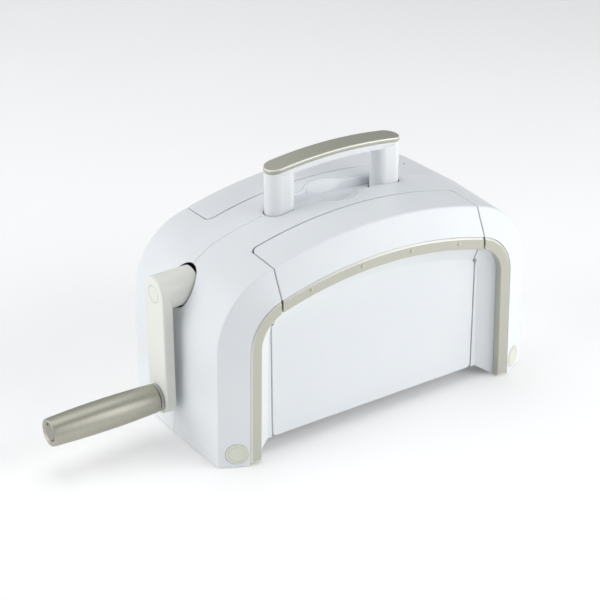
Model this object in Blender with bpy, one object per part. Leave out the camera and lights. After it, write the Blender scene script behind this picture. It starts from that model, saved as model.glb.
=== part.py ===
"""A hand-cranked die cutting machine that folds up into its own arched case.

Sizes are in millimetres and become metres where a mesh is made. X runs along the front,
Y goes to the rear and Z is up. The floor is Z = 0, the case is centred on the design's
X = 0, and one empty moves everything so that the origin lies under the middle of the
whole machine, crank included.
"""
import math

import bmesh
import bpy
from mathutils import Matrix, Vector

MM = 0.001
GAP = 0.3                      # clearance between neighbouring pieces

# Case: an arch on two legs, given by the crease where its sides turn to the front
FOOT_HALF_WIDTH = 175.0
LEG_LEAN = math.radians(1.2)
SHOULDER_RADIUS = 72.3
ARCH_RADIUS = 405.5
ARCH_CENTRE_Z = -202.1
CREASE_Y = 75.0
SEAM_BOW = 2.6                 # how far the case swells from the crease to the middle seam
CASE_BOTTOM_Z = 1.2
WALL = 3.0
SHOULDER_STEPS = 6
ARCH_STEPS = 16

# Trim band on the front edge of the case, measured in from the crease
TRIM_OUTER = 26.5
TRIM_WIDTH = 11.6
TRIM_FACE_Y = 88.7
TRIM_BACK_Y = 80.7
TRIM_GAP_X = 112.5
TRIM_GAP = 2.0
NUB_RADIUS = 1.95
NUB_HEIGHT = 0.9
NUB_X = (27.0, 82.0)

# Opening in the case that a platform flap fills
PANEL_Y = 72.5
PANEL_HALF_WIDTH = 114.3
PANEL_BOTTOM_Z = 12.2
PANEL_CORNER = 4.0
BEVEL_INNER = 54.7             # where the bevel round the opening meets the panel
OPENING_HALF_WIDTH = 115.6
OPENING_STEP_Z = 131.5
CAP_HALF_WIDTH = 112.3
CAP_OPENING_HALF_WIDTH = 113.3
BRIDGE_HALF_DEPTH = 36.1
CAP_EDGE_Y = 36.7

# Platform flaps
PLATE_THICKNESS = 2.7
FLAP_SIDE_OUTER_X = 112.1
FLAP_SIDE_WALL = 3.0
HINGE_Y = 60.7
HINGE_Z = 29.0
HINGE_PIN_RADIUS = 3.0

# Roller train
ROLLER_RADIUS = 17.0
ROLLER_HALF_LENGTH = 113.0
LOWER_ROLLER_Z = 36.0
UPPER_ROLLER_Z = 85.0
SHAFT_RADIUS = 7.0
BUSH_RADIUS = 9.0
BUSH_FLANGE_RADIUS = 11.0
SIDE_PLATE_X = 117.5
SIDE_PLATE_THICKNESS = 2.5
ROLLER_GEAR_TEETH = 20
ROLLER_GEAR_MODULE = 2.45
ROLLER_GEAR_X = (-132.0, -123.5)
DRIVE_MODULE = 2.0
PINION_TEETH = 15
DRIVEN_TEETH = 52
DRIVE_GEAR_X = (-142.5, -134.5)
UPPER_SHAFT_END_X = -147.0
LOWER_SHAFT_END_X = -133.3
GEAR_BACKLASH = 0.35
BRACKET_X = (-151.5, -149.0)
BED_TOP_Z = 52.8
BED_THICKNESS = 3.8

# Crank
CRANK_Z = UPPER_ROLLER_Z + DRIVE_MODULE * (PINION_TEETH + DRIVEN_TEETH) / 2
CRANK_SHAFT_RADIUS = 6.0
CRANK_BUSH_RADIUS = 7.8
HUB_RADIUS = 17.0
HUB_HOLE_RADIUS = 18.7
HUB_END_X = -154.0
ARM_X = (-193.1, -183.2)
GRIP_Z = 44.9
GRIP_ROOT_X = -196.5
GRIP_END_X = -305.0
GRIP_RADIUS = 14.8
GRIP_ROOT_RADIUS = 13.3
GRIP_END_RADIUS = 13.0
SPINDLE_RADIUS = 4.0

# Carry handle, drawn in its raised position
POST_X = 58.7
POST_HALF_LENGTH = 14.6
POST_HALF_WIDTH = 10.8
POST_BOTTOM_Z = 168.0
BAR_HALF_LENGTH = POST_X + POST_HALF_LENGTH
BAR_UNDER_RADIUS = 441.5
BAR_TOP_RADIUS = 448.0
COVER_TOP_RADIUS = 452.4
WELL_HALF_LENGTH = 74.0
WELL_HALF_WIDTH = 11.6
WELL_FLOOR_RADIUS = 398.8
WELL_UNDER_RADIUS = 394.5
SCOOP_SPHERE_RADIUS = 38.2
SCOOP_SPHERE_Z = 234.9

# Base
BASE_Z = (4.5, 7.0)
BASE_HALF_SIZE = (168.5, 69.0)
BASE_WAIST = (137.0, 57.5)       # its half length and half depth between the legs
FOOT_RADIUS = 8.0
FOOT_PLACE = (150.0, 58.0)
PLUG_RADIUS = 10.4
PLUG_Z = 14.3
PLUG_ALONG_CHAMFER = 0.587

# The origin lies under the middle of the whole box, grip included
CENTRE_X = (FOOT_HALF_WIDTH + SEAM_BOW + GRIP_END_X) / 2

MATERIALS = {
    "white_plastic": ((0.83, 0.86, 0.89), 0.38, 0.0),
    "satin_trim": ((0.58, 0.57, 0.48), 0.32, 0.9),
    "warm_plastic": ((0.76, 0.77, 0.70), 0.42, 0.0),
    "grip_metal": ((0.52, 0.50, 0.42), 0.28, 1.0),
    "steel": ((0.55, 0.56, 0.57), 0.3, 1.0),
    "gear_plastic": ((0.12, 0.12, 0.13), 0.5, 0.0),
    "rubber": ((0.05, 0.05, 0.05), 0.8, 0.0),
    "bronze": ((0.45, 0.3, 0.14), 0.4, 1.0),
}


# ---------------------------------------------------------------- scene and objects

def clear_scene():
    for old in list(bpy.data.objects):
        bpy.data.objects.remove(old, do_unlink=True)


def make_material(name, part_name):
    colour, roughness, metallic = MATERIALS[name]
    material = bpy.data.materials.new(part_name + "_" + name)
    material.use_nodes = True
    shader = material.node_tree.nodes["Principled BSDF"]
    shader.inputs["Base Color"].default_value = (*colour, 1.0)
    shader.inputs["Roughness"].default_value = roughness
    shader.inputs["Metallic"].default_value = metallic
    return material


def make_empty(name, place, parent=None):
    """An empty at a design position; its children keep their places in the design."""
    empty = bpy.data.objects.new(name, None)
    bpy.context.collection.objects.link(empty)
    empty["place"] = place
    if parent is None:
        empty.location = Vector(place) * MM
    else:
        empty.parent = parent
        empty.location = (Vector(place) - Vector(parent["place"])) * MM
    return empty


def blank(bm):
    """A working solid from a bmesh in millimetres, ready for booleans."""
    bmesh.ops.remove_doubles(bm, verts=bm.verts, dist=1e-5)
    bmesh.ops.recalc_face_normals(bm, faces=bm.faces)
    bmesh.ops.scale(bm, vec=(MM, MM, MM), verts=bm.verts)
    mesh = bpy.data.meshes.new("blank")
    bm.to_mesh(mesh)
    bm.free()
    item = bpy.data.objects.new("blank", mesh)
    bpy.context.collection.objects.link(item)
    return item


def combine(item, operation, tools):
    """Apply exact booleans with the working solids in tools, which are then removed."""
    for tool in tools:
        modifier = item.modifiers.new("cut", "BOOLEAN")
        modifier.operation = operation
        modifier.solver = "EXACT"
        modifier.object = tool
        bpy.context.view_layer.update()
        evaluated = item.evaluated_get(bpy.context.evaluated_depsgraph_get())
        mesh = bpy.data.meshes.new_from_object(evaluated)
        item.modifiers.clear()
        item.data = mesh
        bpy.data.objects.remove(tool, do_unlink=True)
    return item


def cut(item, *tools):
    return combine(item, "DIFFERENCE", tools)


def weld(item, *others):
    return combine(item, "UNION", others)


def keep_inside(item, *shapes):
    return combine(item, "INTERSECT", shapes)


def finish(item, name, material, origin, parent, smooth_angle=32.0):
    """Name a working solid, give it its material and hang it on its parent empty."""
    mesh = item.data
    mesh.transform(Matrix.Translation(Vector(origin) * -MM))
    mesh.name = name
    item.name = name
    mesh.materials.clear()
    mesh.materials.append(make_material(material, name))
    mesh.shade_smooth()
    mesh.set_sharp_from_angle(angle=math.radians(smooth_angle))
    item.parent = parent
    item.location = (Vector(origin) - Vector(parent["place"])) * MM
    return item


# ---------------------------------------------------------------- basic shapes

def place_point(axis, along, pair):
    """A 3-D point from a position along an axis and the two other coordinates."""
    first, second = pair
    if axis == "X":
        return (along, first, second)
    if axis == "Y":
        return (first, along, second)
    return (first, second, along)


def prism(outline, axis, low, high):
    """An outline in the plane across an axis, given a thickness along it."""
    bm = bmesh.new()
    ends = []
    for along in (low, high):
        ends.append([bm.verts.new(place_point(axis, along, pair)) for pair in outline])
    bm.faces.new(ends[0])
    bm.faces.new(ends[1])
    for k in range(len(outline)):
        nxt = (k + 1) % len(outline)
        bm.faces.new((ends[0][k], ends[0][nxt], ends[1][nxt], ends[1][k]))
    return blank(bm)


def circle(radius, centre=(0.0, 0.0), segments=24):
    turn = 2 * math.pi / segments
    return [(centre[0] + radius * math.cos(k * turn), centre[1] + radius * math.sin(k * turn))
            for k in range(segments)]


def disc(axis, centre, radius, low, high, segments=24):
    return prism(circle(radius, centre, segments), axis, low, high)


def box(x, y, z):
    return prism([(x[0], y[0]), (x[1], y[0]), (x[1], y[1]), (x[0], y[1])], "Z", z[0], z[1])


def arc(centre, radius, start, stop, steps):
    """Points on an arc from one angle to another, in degrees."""
    points = []
    for k in range(steps + 1):
        angle = math.radians(start + (stop - start) * k / steps)
        points.append((centre[0] + radius * math.cos(angle),
                       centre[1] + radius * math.sin(angle)))
    return points


def stadium(half_length, half_width, centre=(0.0, 0.0), steps=8):
    """An outline with two straight sides and half-round ends."""
    reach = half_length - half_width
    right = arc((centre[0] + reach, centre[1]), half_width, -90, 90, steps)
    left = arc((centre[0] - reach, centre[1]), half_width, 90, 270, steps)
    return right + left


def arch_line(radius, half_width, steps, reverse=False):
    """Points in XZ on a curve concentric with the top of the case."""
    points = []
    for k in range(steps + 1):
        x = half_width * (1 - 2 * k / steps)
        points.append((x, ARCH_CENTRE_Z + math.sqrt(radius ** 2 - x ** 2)))
    return points[::-1] if reverse else points


def arch_slab(inner_radius, outer_radius, half_width, half_depth, steps=16):
    """A curved plate concentric with the top of the case."""
    outline = arch_line(outer_radius, half_width, steps)
    outline += arch_line(inner_radius, half_width, steps, reverse=True)
    return prism(outline, "Y", -half_depth, half_depth)


def turned(profile, centre, segments=24):
    """Turn a profile of (X, radius) about the line along X through centre (Y, Z)."""
    bm = bmesh.new()
    rings = []
    for x, radius in profile:
        if radius == 0:
            rings.append([bm.verts.new((x, *centre))])
        else:
            rings.append([bm.verts.new((x, *pair)) for pair in circle(radius, centre, segments)])
    closed = all(radius > 0 for _, radius in profile)
    pairs = list(zip(rings, rings[1:]))
    if closed:
        pairs.append((rings[-1], rings[0]))
    for here, there in pairs:
        for k in range(segments):
            nxt = (k + 1) % segments
            corners = [here[k % len(here)], here[nxt % len(here)],
                       there[nxt % len(there)], there[k % len(there)]]
            bm.faces.new(list(dict.fromkeys(corners)))
    return blank(bm)


# ---------------------------------------------------------------- the case's arch

def arch_stations():
    """Points along the crease, foot to foot, each with the direction that faces out."""
    side = Vector((math.cos(LEG_LEAN), math.sin(LEG_LEAN)))
    up_leg = Vector((-math.sin(LEG_LEAN), math.cos(LEG_LEAN)))
    start = Vector((FOOT_HALF_WIDTH, 0)) - side * SHOULDER_RADIUS
    from_centre = start - Vector((0, ARCH_CENTRE_Z))
    reach = ARCH_RADIUS - SHOULDER_RADIUS
    half = from_centre.dot(up_leg)
    rise = -half + math.sqrt(half ** 2 - from_centre.length_squared + reach ** 2)
    shoulder = start + up_leg * rise
    join = math.atan2(shoulder.y - ARCH_CENTRE_Z, shoulder.x)

    foot_x = FOOT_HALF_WIDTH - CASE_BOTTOM_Z * math.tan(LEG_LEAN)
    half_path = [(Vector((foot_x, CASE_BOTTOM_Z)), Vector((1, 0)))]
    for k in range(SHOULDER_STEPS + 1):
        angle = LEG_LEAN + (join - LEG_LEAN) * k / SHOULDER_STEPS
        out = Vector((math.cos(angle), math.sin(angle)))
        half_path.append((shoulder + out * SHOULDER_RADIUS, out))
    for k in range(1, ARCH_STEPS // 2 + 1):
        angle = join + (math.pi / 2 - join) * k / (ARCH_STEPS // 2)
        out = Vector((math.cos(angle), math.sin(angle)))
        half_path.append((Vector((0, ARCH_CENTRE_Z)) + out * ARCH_RADIUS, out))
    mirrored = [(Vector((-p.x, p.y)), Vector((-n.x, n.y))) for p, n in half_path[-2::-1]]
    return half_path + mirrored


def sweep(section, side):
    """Carry a section of (inset from the crease, depth from the seam) round the arch."""
    bm = bmesh.new()
    rings = []
    for point, out in arch_stations():
        ring = []
        for inset, depth in section:
            place = point - out * inset
            ring.append(bm.verts.new((place.x, side * depth, place.y)))
        rings.append(ring)
    bm.faces.new(rings[0])
    bm.faces.new(rings[-1])
    for here, there in zip(rings, rings[1:]):
        for k in range(len(section)):
            nxt = (k + 1) % len(section)
            bm.faces.new((here[k], here[nxt], there[nxt], there[k]))
    return blank(bm)


def case_section(edge_y, flange_inset):
    """Shell section from an edge at edge_y, over the crease and chamfer, to the opening."""
    bow = SEAM_BOW * (1 - edge_y / CREASE_Y)
    seat = TRIM_OUTER - GAP
    seat_y = TRIM_BACK_Y - GAP
    seat_inner = TRIM_OUTER + TRIM_WIDTH
    inner_seat_y = seat_y - WALL
    return [
        (-bow, edge_y), (0.0, CREASE_Y), (seat, TRIM_FACE_Y - 0.5), (seat, seat_y),
        (seat_inner, seat_y), (BEVEL_INNER, PANEL_Y), (flange_inset, PANEL_Y),
        (flange_inset, PANEL_Y - WALL), (BEVEL_INNER - 1.4, PANEL_Y - WALL),
        (seat_inner - 1.4, inner_seat_y), (seat - WALL - 0.7, inner_seat_y),
        (WALL + 0.2, CREASE_Y - 2.4), (WALL - bow, edge_y),
    ]


def chamfer_frame(side, hand):
    """Centre and outward direction of a plug on the chamfer beside the trim."""
    across = Vector((-(TRIM_OUTER - GAP), TRIM_FACE_Y - 0.5 - CREASE_Y))
    place = across * PLUG_ALONG_CHAMFER
    centre = Vector((hand * (FOOT_HALF_WIDTH + place.x), side * (CREASE_Y + place.y), PLUG_Z))
    out = Vector((hand * across.y, side * -across.x, 0)).normalized()
    return centre, out


def slanted_disc(centre, out, radius, low, high):
    """A disc whose axis is out, from low to high along it."""
    bm = bmesh.new()
    turn = out.to_track_quat("Z", "Y").to_matrix().to_4x4()
    middle = centre + out * (low + high) / 2
    bmesh.ops.create_cone(bm, cap_ends=True, segments=24, radius1=radius, radius2=radius,
                          depth=high - low, matrix=Matrix.Translation(middle) @ turn)
    return blank(bm)


def scoop_ball():
    """The ball that scoops the finger hollow under the carry handle."""
    bm = bmesh.new()
    bmesh.ops.create_uvsphere(bm, u_segments=24, v_segments=18, radius=SCOOP_SPHERE_RADIUS,
                              matrix=Matrix.Translation((0, 0, SCOOP_SPHERE_Z)))
    return blank(bm)


# ---------------------------------------------------------------- case pieces

def build_casing(name, side, parent):
    """One moulded half of the case, from the middle seam to the opening's edge."""
    shell = sweep(case_section(GAP / 2, BEVEL_INNER + 6.3), side)
    reach = TRIM_FACE_Y + 10
    opening = [(-OPENING_HALF_WIDTH, -5), (OPENING_HALF_WIDTH, -5),
               (OPENING_HALF_WIDTH, OPENING_STEP_Z), (CAP_OPENING_HALF_WIDTH, OPENING_STEP_Z),
               (CAP_OPENING_HALF_WIDTH, 230), (-CAP_OPENING_HALF_WIDTH, 230),
               (-CAP_OPENING_HALF_WIDTH, OPENING_STEP_Z), (-OPENING_HALF_WIDTH, OPENING_STEP_Z)]
    cut(shell, prism(opening, "Y", side * BRIDGE_HALF_DEPTH, side * reach))
    trim_inner_x = FOOT_HALF_WIDTH - TRIM_OUTER - TRIM_WIDTH
    bevel_x = FOOT_HALF_WIDTH - BEVEL_INNER
    for hand in (-1, 1):
        slope = [(hand * 110, -5), (hand * (trim_inner_x + 2), -5),
                 (hand * (trim_inner_x - 0.3), CASE_BOTTOM_Z),
                 (hand * bevel_x, PANEL_BOTTOM_Z), (hand * 110, PANEL_BOTTOM_Z)]
        cut(shell, prism(slope, "Y", side * 66.0, side * (TRIM_BACK_Y - 0.5)))
        centre, out = chamfer_frame(side, hand)
        cut(shell, slanted_disc(centre, out, PLUG_RADIUS + GAP, -2.0, 6.0))
    cut(shell, disc("X", (0, CRANK_Z), HUB_HOLE_RADIUS, -200, -130, 32))
    cut(shell, prism(stadium(WELL_HALF_LENGTH, WELL_HALF_WIDTH), "Z", 180, 230), scoop_ball())
    return finish(shell, name, "white_plastic", (0, side * CREASE_Y, 0), parent)


def trim_section():
    outer = TRIM_OUTER
    inner = TRIM_OUTER + TRIM_WIDTH
    return [(outer, TRIM_BACK_Y), (outer, TRIM_FACE_Y - 1.6), (outer + 0.7, TRIM_FACE_Y - 0.5),
            (outer + 1.8, TRIM_FACE_Y), (inner - 1.0, TRIM_FACE_Y),
            (inner, TRIM_FACE_Y - 1.0), (inner, TRIM_BACK_Y)]


def build_leg_trim(name, side, hand, parent):
    """Satin band up one leg and round its shoulder."""
    band = sweep(trim_section(), side)
    end = TRIM_GAP_X + TRIM_GAP / 2
    reach = sorted((-hand * 200, hand * end))
    cut(band, box(reach, sorted((side * 60, side * 100)), (-5, 230)))
    origin = (hand * FOOT_HALF_WIDTH, side * TRIM_FACE_Y, 0)
    return finish(band, name, "satin_trim", origin, parent)


def build_arch_trim(name, side, parent):
    """Satin band across a flap, with the four nubs that the open flap stands on."""
    band = sweep(trim_section(), side)
    end = TRIM_GAP_X - TRIM_GAP / 2
    depth = sorted((side * 60, side * 100))
    cut(band, box((end, 200), depth, (-5, 230)), box((-200, -end), depth, (-5, 230)))
    middle_radius = ARCH_RADIUS - TRIM_OUTER - TRIM_WIDTH / 2
    for x in [hand * place for hand in (-1, 1) for place in NUB_X]:
        z = ARCH_CENTRE_Z + math.sqrt(middle_radius ** 2 - x ** 2)
        nub = disc("Y", (x, z), NUB_RADIUS, side * (TRIM_FACE_Y - 2),
                   side * (TRIM_FACE_Y + NUB_HEIGHT), 8)
        weld(band, nub)
    return finish(band, name, "satin_trim", (0, side * HINGE_Y, HINGE_Z), parent)


def build_plug(name, side, hand, parent):
    """Round plug over the case screw at the foot of a leg."""
    centre, out = chamfer_frame(side, hand)
    plug = slanted_disc(centre, out, PLUG_RADIUS, -2.0 + GAP, 0.4)
    return finish(plug, name, "warm_plastic", tuple(centre), parent)


def build_base(parent):
    """Flat steel plate across the underside, cut back below the flaps."""
    (long, deep), (waist, narrow) = BASE_HALF_SIZE, BASE_WAIST
    half = [(long, deep), (waist, deep), (waist, narrow), (-waist, narrow), (-waist, deep),
            (-long, deep)]
    plate = prism(half + [(-x, -y) for x, y in half], "Z", *BASE_Z)
    return finish(plate, "base_plate", "steel", (0, 0, BASE_Z[0]), parent)


def build_foot(name, side, hand, parent):
    x, y = hand * FOOT_PLACE[0], side * FOOT_PLACE[1]
    foot = disc("Z", (x, y), FOOT_RADIUS, 0, BASE_Z[0] - GAP, 20)
    return finish(foot, name, "rubber", (x, y, 0), parent)


def build_inner_cover(name, side, parent):
    """Upright cover between the upper roller and a flap."""
    outline = [(-CAP_HALF_WIDTH, 71), (CAP_HALF_WIDTH, 71)]
    outline += arch_line(400.0, CAP_HALF_WIDTH, 12)
    cover = prism(outline, "Y", side * 33.8, side * 35.8)
    return finish(cover, name, "white_plastic", (0, side * 33.8, 71), parent)


# ---------------------------------------------------------------- folding platforms

def flap_side_outline():
    """Filled end of a flap in (depth from the seam, Z), half a wall inside its skin."""
    inside = WALL / 2
    edge_x = FLAP_SIDE_OUTER_X - FLAP_SIDE_WALL / 2

    def height(radius):
        return ARCH_CENTRE_Z + math.sqrt(radius ** 2 - edge_x ** 2)

    seat = ARCH_RADIUS - TRIM_OUTER - TRIM_WIDTH
    return [(CAP_EDGE_Y + PLATE_THICKNESS + GAP, PANEL_BOTTOM_Z + 2),
            (PANEL_Y - inside, PANEL_BOTTOM_Z + 2),
            (PANEL_Y - inside, height(ARCH_RADIUS - BEVEL_INNER + 1)),
            (TRIM_BACK_Y - GAP - inside, height(seat + 1)),
            (TRIM_BACK_Y - GAP - inside, height(ARCH_RADIUS - TRIM_OUTER + 1.5)),
            (TRIM_FACE_Y - 2.5, height(ARCH_RADIUS - TRIM_OUTER + 2)),
            (CREASE_Y - 1.2, height(ARCH_RADIUS - inside)),
            (CAP_EDGE_Y + PLATE_THICKNESS + GAP, height(ARCH_RADIUS + SEAM_BOW / 2 - inside))]


def build_flap_shell(name, side, parent):
    """Flap moulding: cap over the top, front panel and two side walls."""
    shell = sweep(case_section(CAP_EDGE_Y, BEVEL_INNER + 1.3), side)
    depth = sorted((side * 20, side * 110))
    cut(shell, box((CAP_HALF_WIDTH, 200), depth, (-5, 230)),
        box((-200, -CAP_HALF_WIDTH), depth, (-5, 230)))
    right = arc((PANEL_HALF_WIDTH - PANEL_CORNER, PANEL_BOTTOM_Z + PANEL_CORNER),
                PANEL_CORNER, -90, 0, 3)
    left = [(-x, z) for x, z in right[::-1]]
    outline = left + right + arch_line(ARCH_RADIUS - BEVEL_INNER - 0.6, PANEL_HALF_WIDTH, 16)
    panel = prism(outline, "Y", side * (PANEL_Y - WALL), side * PANEL_Y)
    sides = []
    for hand in (-1, 1):
        profile = [(side * depth_y, z) for depth_y, z in flap_side_outline()]
        inner_x = FLAP_SIDE_OUTER_X - FLAP_SIDE_WALL
        sides.append(prism(profile, "X", hand * inner_x, hand * FLAP_SIDE_OUTER_X))
    weld(shell, panel, *sides)
    cut(shell, disc("X", (side * HINGE_Y, HINGE_Z), HINGE_PIN_RADIUS + GAP, -130, 130, 16))
    return finish(shell, name, "white_plastic", (0, side * HINGE_Y, HINGE_Z), parent)


def build_platform_plate(name, side, parent):
    """Flat inner side of a flap, which becomes the work table when the flap is down."""
    bottom = PANEL_BOTTOM_Z + 0.8
    outline = [(-CAP_HALF_WIDTH + 0.2, bottom), (CAP_HALF_WIDTH - 0.2, bottom)]
    outline += arch_line(ARCH_RADIUS - 2.3, CAP_HALF_WIDTH - 0.2, 14)
    plate = prism(outline, "Y", side * CAP_EDGE_Y, side * (CAP_EDGE_Y + PLATE_THICKNESS))
    return finish(plate, name, "white_plastic", (0, side * HINGE_Y, HINGE_Z), parent)


def build_hinge_pin(name, side, hand, parent):
    """Headed pin from inside the flap's side wall out into the steel side plate."""
    inner = FLAP_SIDE_OUTER_X - FLAP_SIDE_WALL
    profile = [(inner - 3.0, 0), (inner - 3.0, 5.0), (inner - GAP, 5.0),
               (inner - GAP, HINGE_PIN_RADIUS), (122.0, HINGE_PIN_RADIUS), (122.0, 0)]
    pin = turned([(hand * x, radius) for x, radius in profile], (side * HINGE_Y, HINGE_Z), 16)
    return finish(pin, name, "steel", (hand * inner, side * HINGE_Y, HINGE_Z), parent)


# ---------------------------------------------------------------- roller train

def build_side_plate(name, hand, parent):
    """Steel frame plate with its bearing holes and a turned-out foot."""
    outline = [(-56, BASE_Z[1] + GAP), (56, BASE_Z[1] + GAP), (68, 18), (68, 44), (31, 68),
               (31, 172), (-31, 172), (-31, 68), (-68, 44), (-68, 18)]
    inner, outer = SIDE_PLATE_X, SIDE_PLATE_X + SIDE_PLATE_THICKNESS
    plate = prism(outline, "X", hand * inner, hand * outer)
    foot_x = sorted((hand * (inner + 0.5), hand * (outer + 12)))
    weld(plate, box(foot_x, (-55, 55), (BASE_Z[1] + GAP, BASE_Z[1] + GAP + 2.2)))
    holes = [((0, LOWER_ROLLER_Z), BUSH_RADIUS + GAP), ((0, UPPER_ROLLER_Z), BUSH_RADIUS + GAP),
             ((HINGE_Y, HINGE_Z), HINGE_PIN_RADIUS + GAP),
             ((-HINGE_Y, HINGE_Z), HINGE_PIN_RADIUS + GAP)]
    if hand < 0:
        holes.append(((0, CRANK_Z), CRANK_BUSH_RADIUS + GAP))
    for centre, radius in holes:
        low, high = sorted((hand * (inner - 3), hand * (outer + 3)))
        cut(plate, disc("X", centre, radius, low, high, 20))
    return finish(plate, name, "steel", (hand * inner, 0, BASE_Z[1]), parent)


def build_tie_rod(name, side, parent):
    place = (side * 25.0, 150.0)
    end = SIDE_PLATE_X - GAP
    rod = disc("X", place, 4.0, -end, end, 14)
    return finish(rod, name, "steel", (0, *place), parent)


def build_bush(name, inner_radius, outer_radius, flange_radius, x, centre, parent):
    """Flanged bearing bush; x lists the flange face, flange back and far end."""
    face, back, end = x
    profile = [(face, inner_radius), (face, flange_radius), (back, flange_radius),
               (back, outer_radius), (end, outer_radius), (end, inner_radius)]
    bush = turned(profile, centre, 16)
    return finish(bush, name, "bronze", (face, *centre), parent)


def build_roller(name, z, gear_end_x, parent):
    """Pressure roller and its shaft, turned from one bar."""
    half = ROLLER_HALF_LENGTH
    profile = [(gear_end_x, 0), (gear_end_x, SHAFT_RADIUS), (-half, SHAFT_RADIUS),
               (-half, ROLLER_RADIUS - 0.8), (-half + 0.8, ROLLER_RADIUS),
               (half - 0.8, ROLLER_RADIUS), (half, ROLLER_RADIUS - 0.8),
               (half, SHAFT_RADIUS), (123.0, SHAFT_RADIUS), (123.0, 0)]
    roller = turned(profile, (0, z), 24)
    return finish(roller, name, "steel", (0, 0, z), parent)


def gear_outline(teeth, module, first_angle):
    """Stub involute teeth; one tooth points along first_angle."""
    pressure = math.radians(20)
    pitch = module * teeth / 2
    base = pitch * math.cos(pressure)
    tip = pitch + 0.8 * module
    root = pitch - 1.0 * module
    half_tooth = math.pi / (2 * teeth) - GEAR_BACKLASH / (4 * pitch)
    at_pitch = math.tan(pressure) - pressure
    flank = []
    for radius in (max(base, root), pitch, tip):
        roll = math.acos(min(1.0, base / radius))
        flank.append((radius, half_tooth + at_pitch - (math.tan(roll) - roll)))
    if root < base:
        flank.insert(0, (root, flank[0][1]))
    outline = []
    for tooth in range(teeth):
        middle = first_angle + tooth * 2 * math.pi / teeth
        outline += [(radius, middle - offset) for radius, offset in flank]
        outline += [(radius, middle + offset) for radius, offset in flank[::-1]]
    return [(radius * math.cos(angle), radius * math.sin(angle)) for radius, angle in outline]


def build_gear(name, teeth, module, z, x, bore, first_angle, parent):
    outline = [(y, z + up) for y, up in gear_outline(teeth, module, first_angle)]
    gear = prism(outline, "X", x[0], x[1])
    cut(gear, disc("X", (0, z), bore + GAP, x[0] - 3, x[1] + 3, 20))
    return finish(gear, name, "gear_plastic", (x[0], 0, z), parent)


def build_gear_bracket(parent):
    """Outer plate that carries the crank shaft's second bearing."""
    top = arc((0, CRANK_Z), 10.8, 20, 160, 8)
    outline = [(-24, BASE_Z[1] + GAP), (24, BASE_Z[1] + GAP), (24, 100)]
    outline += top + [(-24, 100)]
    bracket = prism(outline, "X", *BRACKET_X)
    foot = box((BRACKET_X[0] - 12, BRACKET_X[1] - 0.5), (-22, 22),
               (BASE_Z[1] + GAP, BASE_Z[1] + GAP + 2.2))
    weld(bracket, foot)
    cut(bracket, disc("X", (0, CRANK_Z), CRANK_BUSH_RADIUS + GAP,
                      BRACKET_X[0] - 3, BRACKET_X[1] + 3, 20))
    return finish(bracket, "gear_bracket", "steel", (BRACKET_X[1], 0, BASE_Z[1]), parent)


def build_bed_plate(name, side, parent):
    """Bed that carries the stack from a platform into the rollers."""
    top = BED_TOP_Z
    inner, outer = 11.5, CAP_EDGE_Y - 0.7
    outline = [(side * inner, top - BED_THICKNESS), (side * outer, top - BED_THICKNESS),
               (side * outer, top - 0.8), (side * (outer - 0.8), top),
               (side * (inner + 1.0), top), (side * inner, top - 1.0)]
    plate = prism(outline, "X", -(SIDE_PLATE_X - GAP), SIDE_PLATE_X - GAP)
    return finish(plate, name, "white_plastic", (0, side * inner, top), parent)


# ---------------------------------------------------------------- crank

def build_crank_arm(parent):
    """Hub and arm in one moulding, bored for the shaft and the grip's spindle."""
    outline = arc((0, CRANK_Z), HUB_RADIUS, 0, 180, 12)
    outline += arc((0, GRIP_Z), HUB_RADIUS - 0.5, 180, 360, 12)
    arm = prism(outline, "X", *ARM_X)
    weld(arm, disc("X", (0, CRANK_Z), HUB_RADIUS, ARM_X[1] - 1.0, HUB_END_X, 32))
    cut(arm, disc("X", (0, CRANK_Z), CRANK_SHAFT_RADIUS + GAP, -178, -100, 20),
        disc("X", (0, CRANK_Z), 9.8, ARM_X[0] - 5, ARM_X[0] + 1.6),
        disc("X", (0, GRIP_Z), SPINDLE_RADIUS + GAP, -200, -170, 16))
    return finish(arm, "crank_arm", "warm_plastic", (0, 0, CRANK_Z), parent)


def build_arm_cap(parent):
    cap = disc("X", (0, CRANK_Z), 9.5, ARM_X[0] - 0.2, ARM_X[0] + 1.3)
    return finish(cap, "crank_arm_cap", "warm_plastic", (ARM_X[0], 0, CRANK_Z), parent)


def build_crank_shaft(parent):
    shaft = disc("X", (0, CRANK_Z), CRANK_SHAFT_RADIUS, -177.5, -116.0, 20)
    return finish(shaft, "crank_shaft", "steel", (0, 0, CRANK_Z), parent)


def grip_radius(along):
    """Barrel radius of the grip, from its root (0) to its end (1)."""
    taper = GRIP_ROOT_RADIUS + (GRIP_END_RADIUS - GRIP_ROOT_RADIUS) * along
    swell = GRIP_RADIUS - (GRIP_ROOT_RADIUS + GRIP_END_RADIUS) / 2
    return taper + swell * math.sin(math.pi * along) ** 0.8


def build_grip(parent):
    """Satin barrel that turns freely on the spindle, counterbored for its head."""
    length = GRIP_END_X - GRIP_ROOT_X
    steps = 8
    outer = [(GRIP_ROOT_X + length * k / steps, grip_radius(k / steps))
             for k in range(steps + 1)]
    outer[0] = (GRIP_ROOT_X, GRIP_ROOT_RADIUS - 1.0)
    outer[-1] = (GRIP_END_X, GRIP_END_RADIUS - 1.2)
    bore = SPINDLE_RADIUS + GAP
    inside = [(GRIP_END_X, 9.4), (GRIP_END_X + 7.0, 9.4), (GRIP_END_X + 7.0, bore),
              (GRIP_ROOT_X, bore)]
    grip = turned(outer + inside, (0, GRIP_Z), 20)
    return finish(grip, "grip_barrel", "grip_metal", (GRIP_ROOT_X, 0, GRIP_Z), parent)


def build_grip_cap(parent):
    cap = disc("X", (0, GRIP_Z), 9.1, GRIP_END_X + 0.5, GRIP_END_X + 2.2)
    return finish(cap, "grip_end_cap", "grip_metal", (GRIP_END_X, 0, GRIP_Z), parent)


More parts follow.
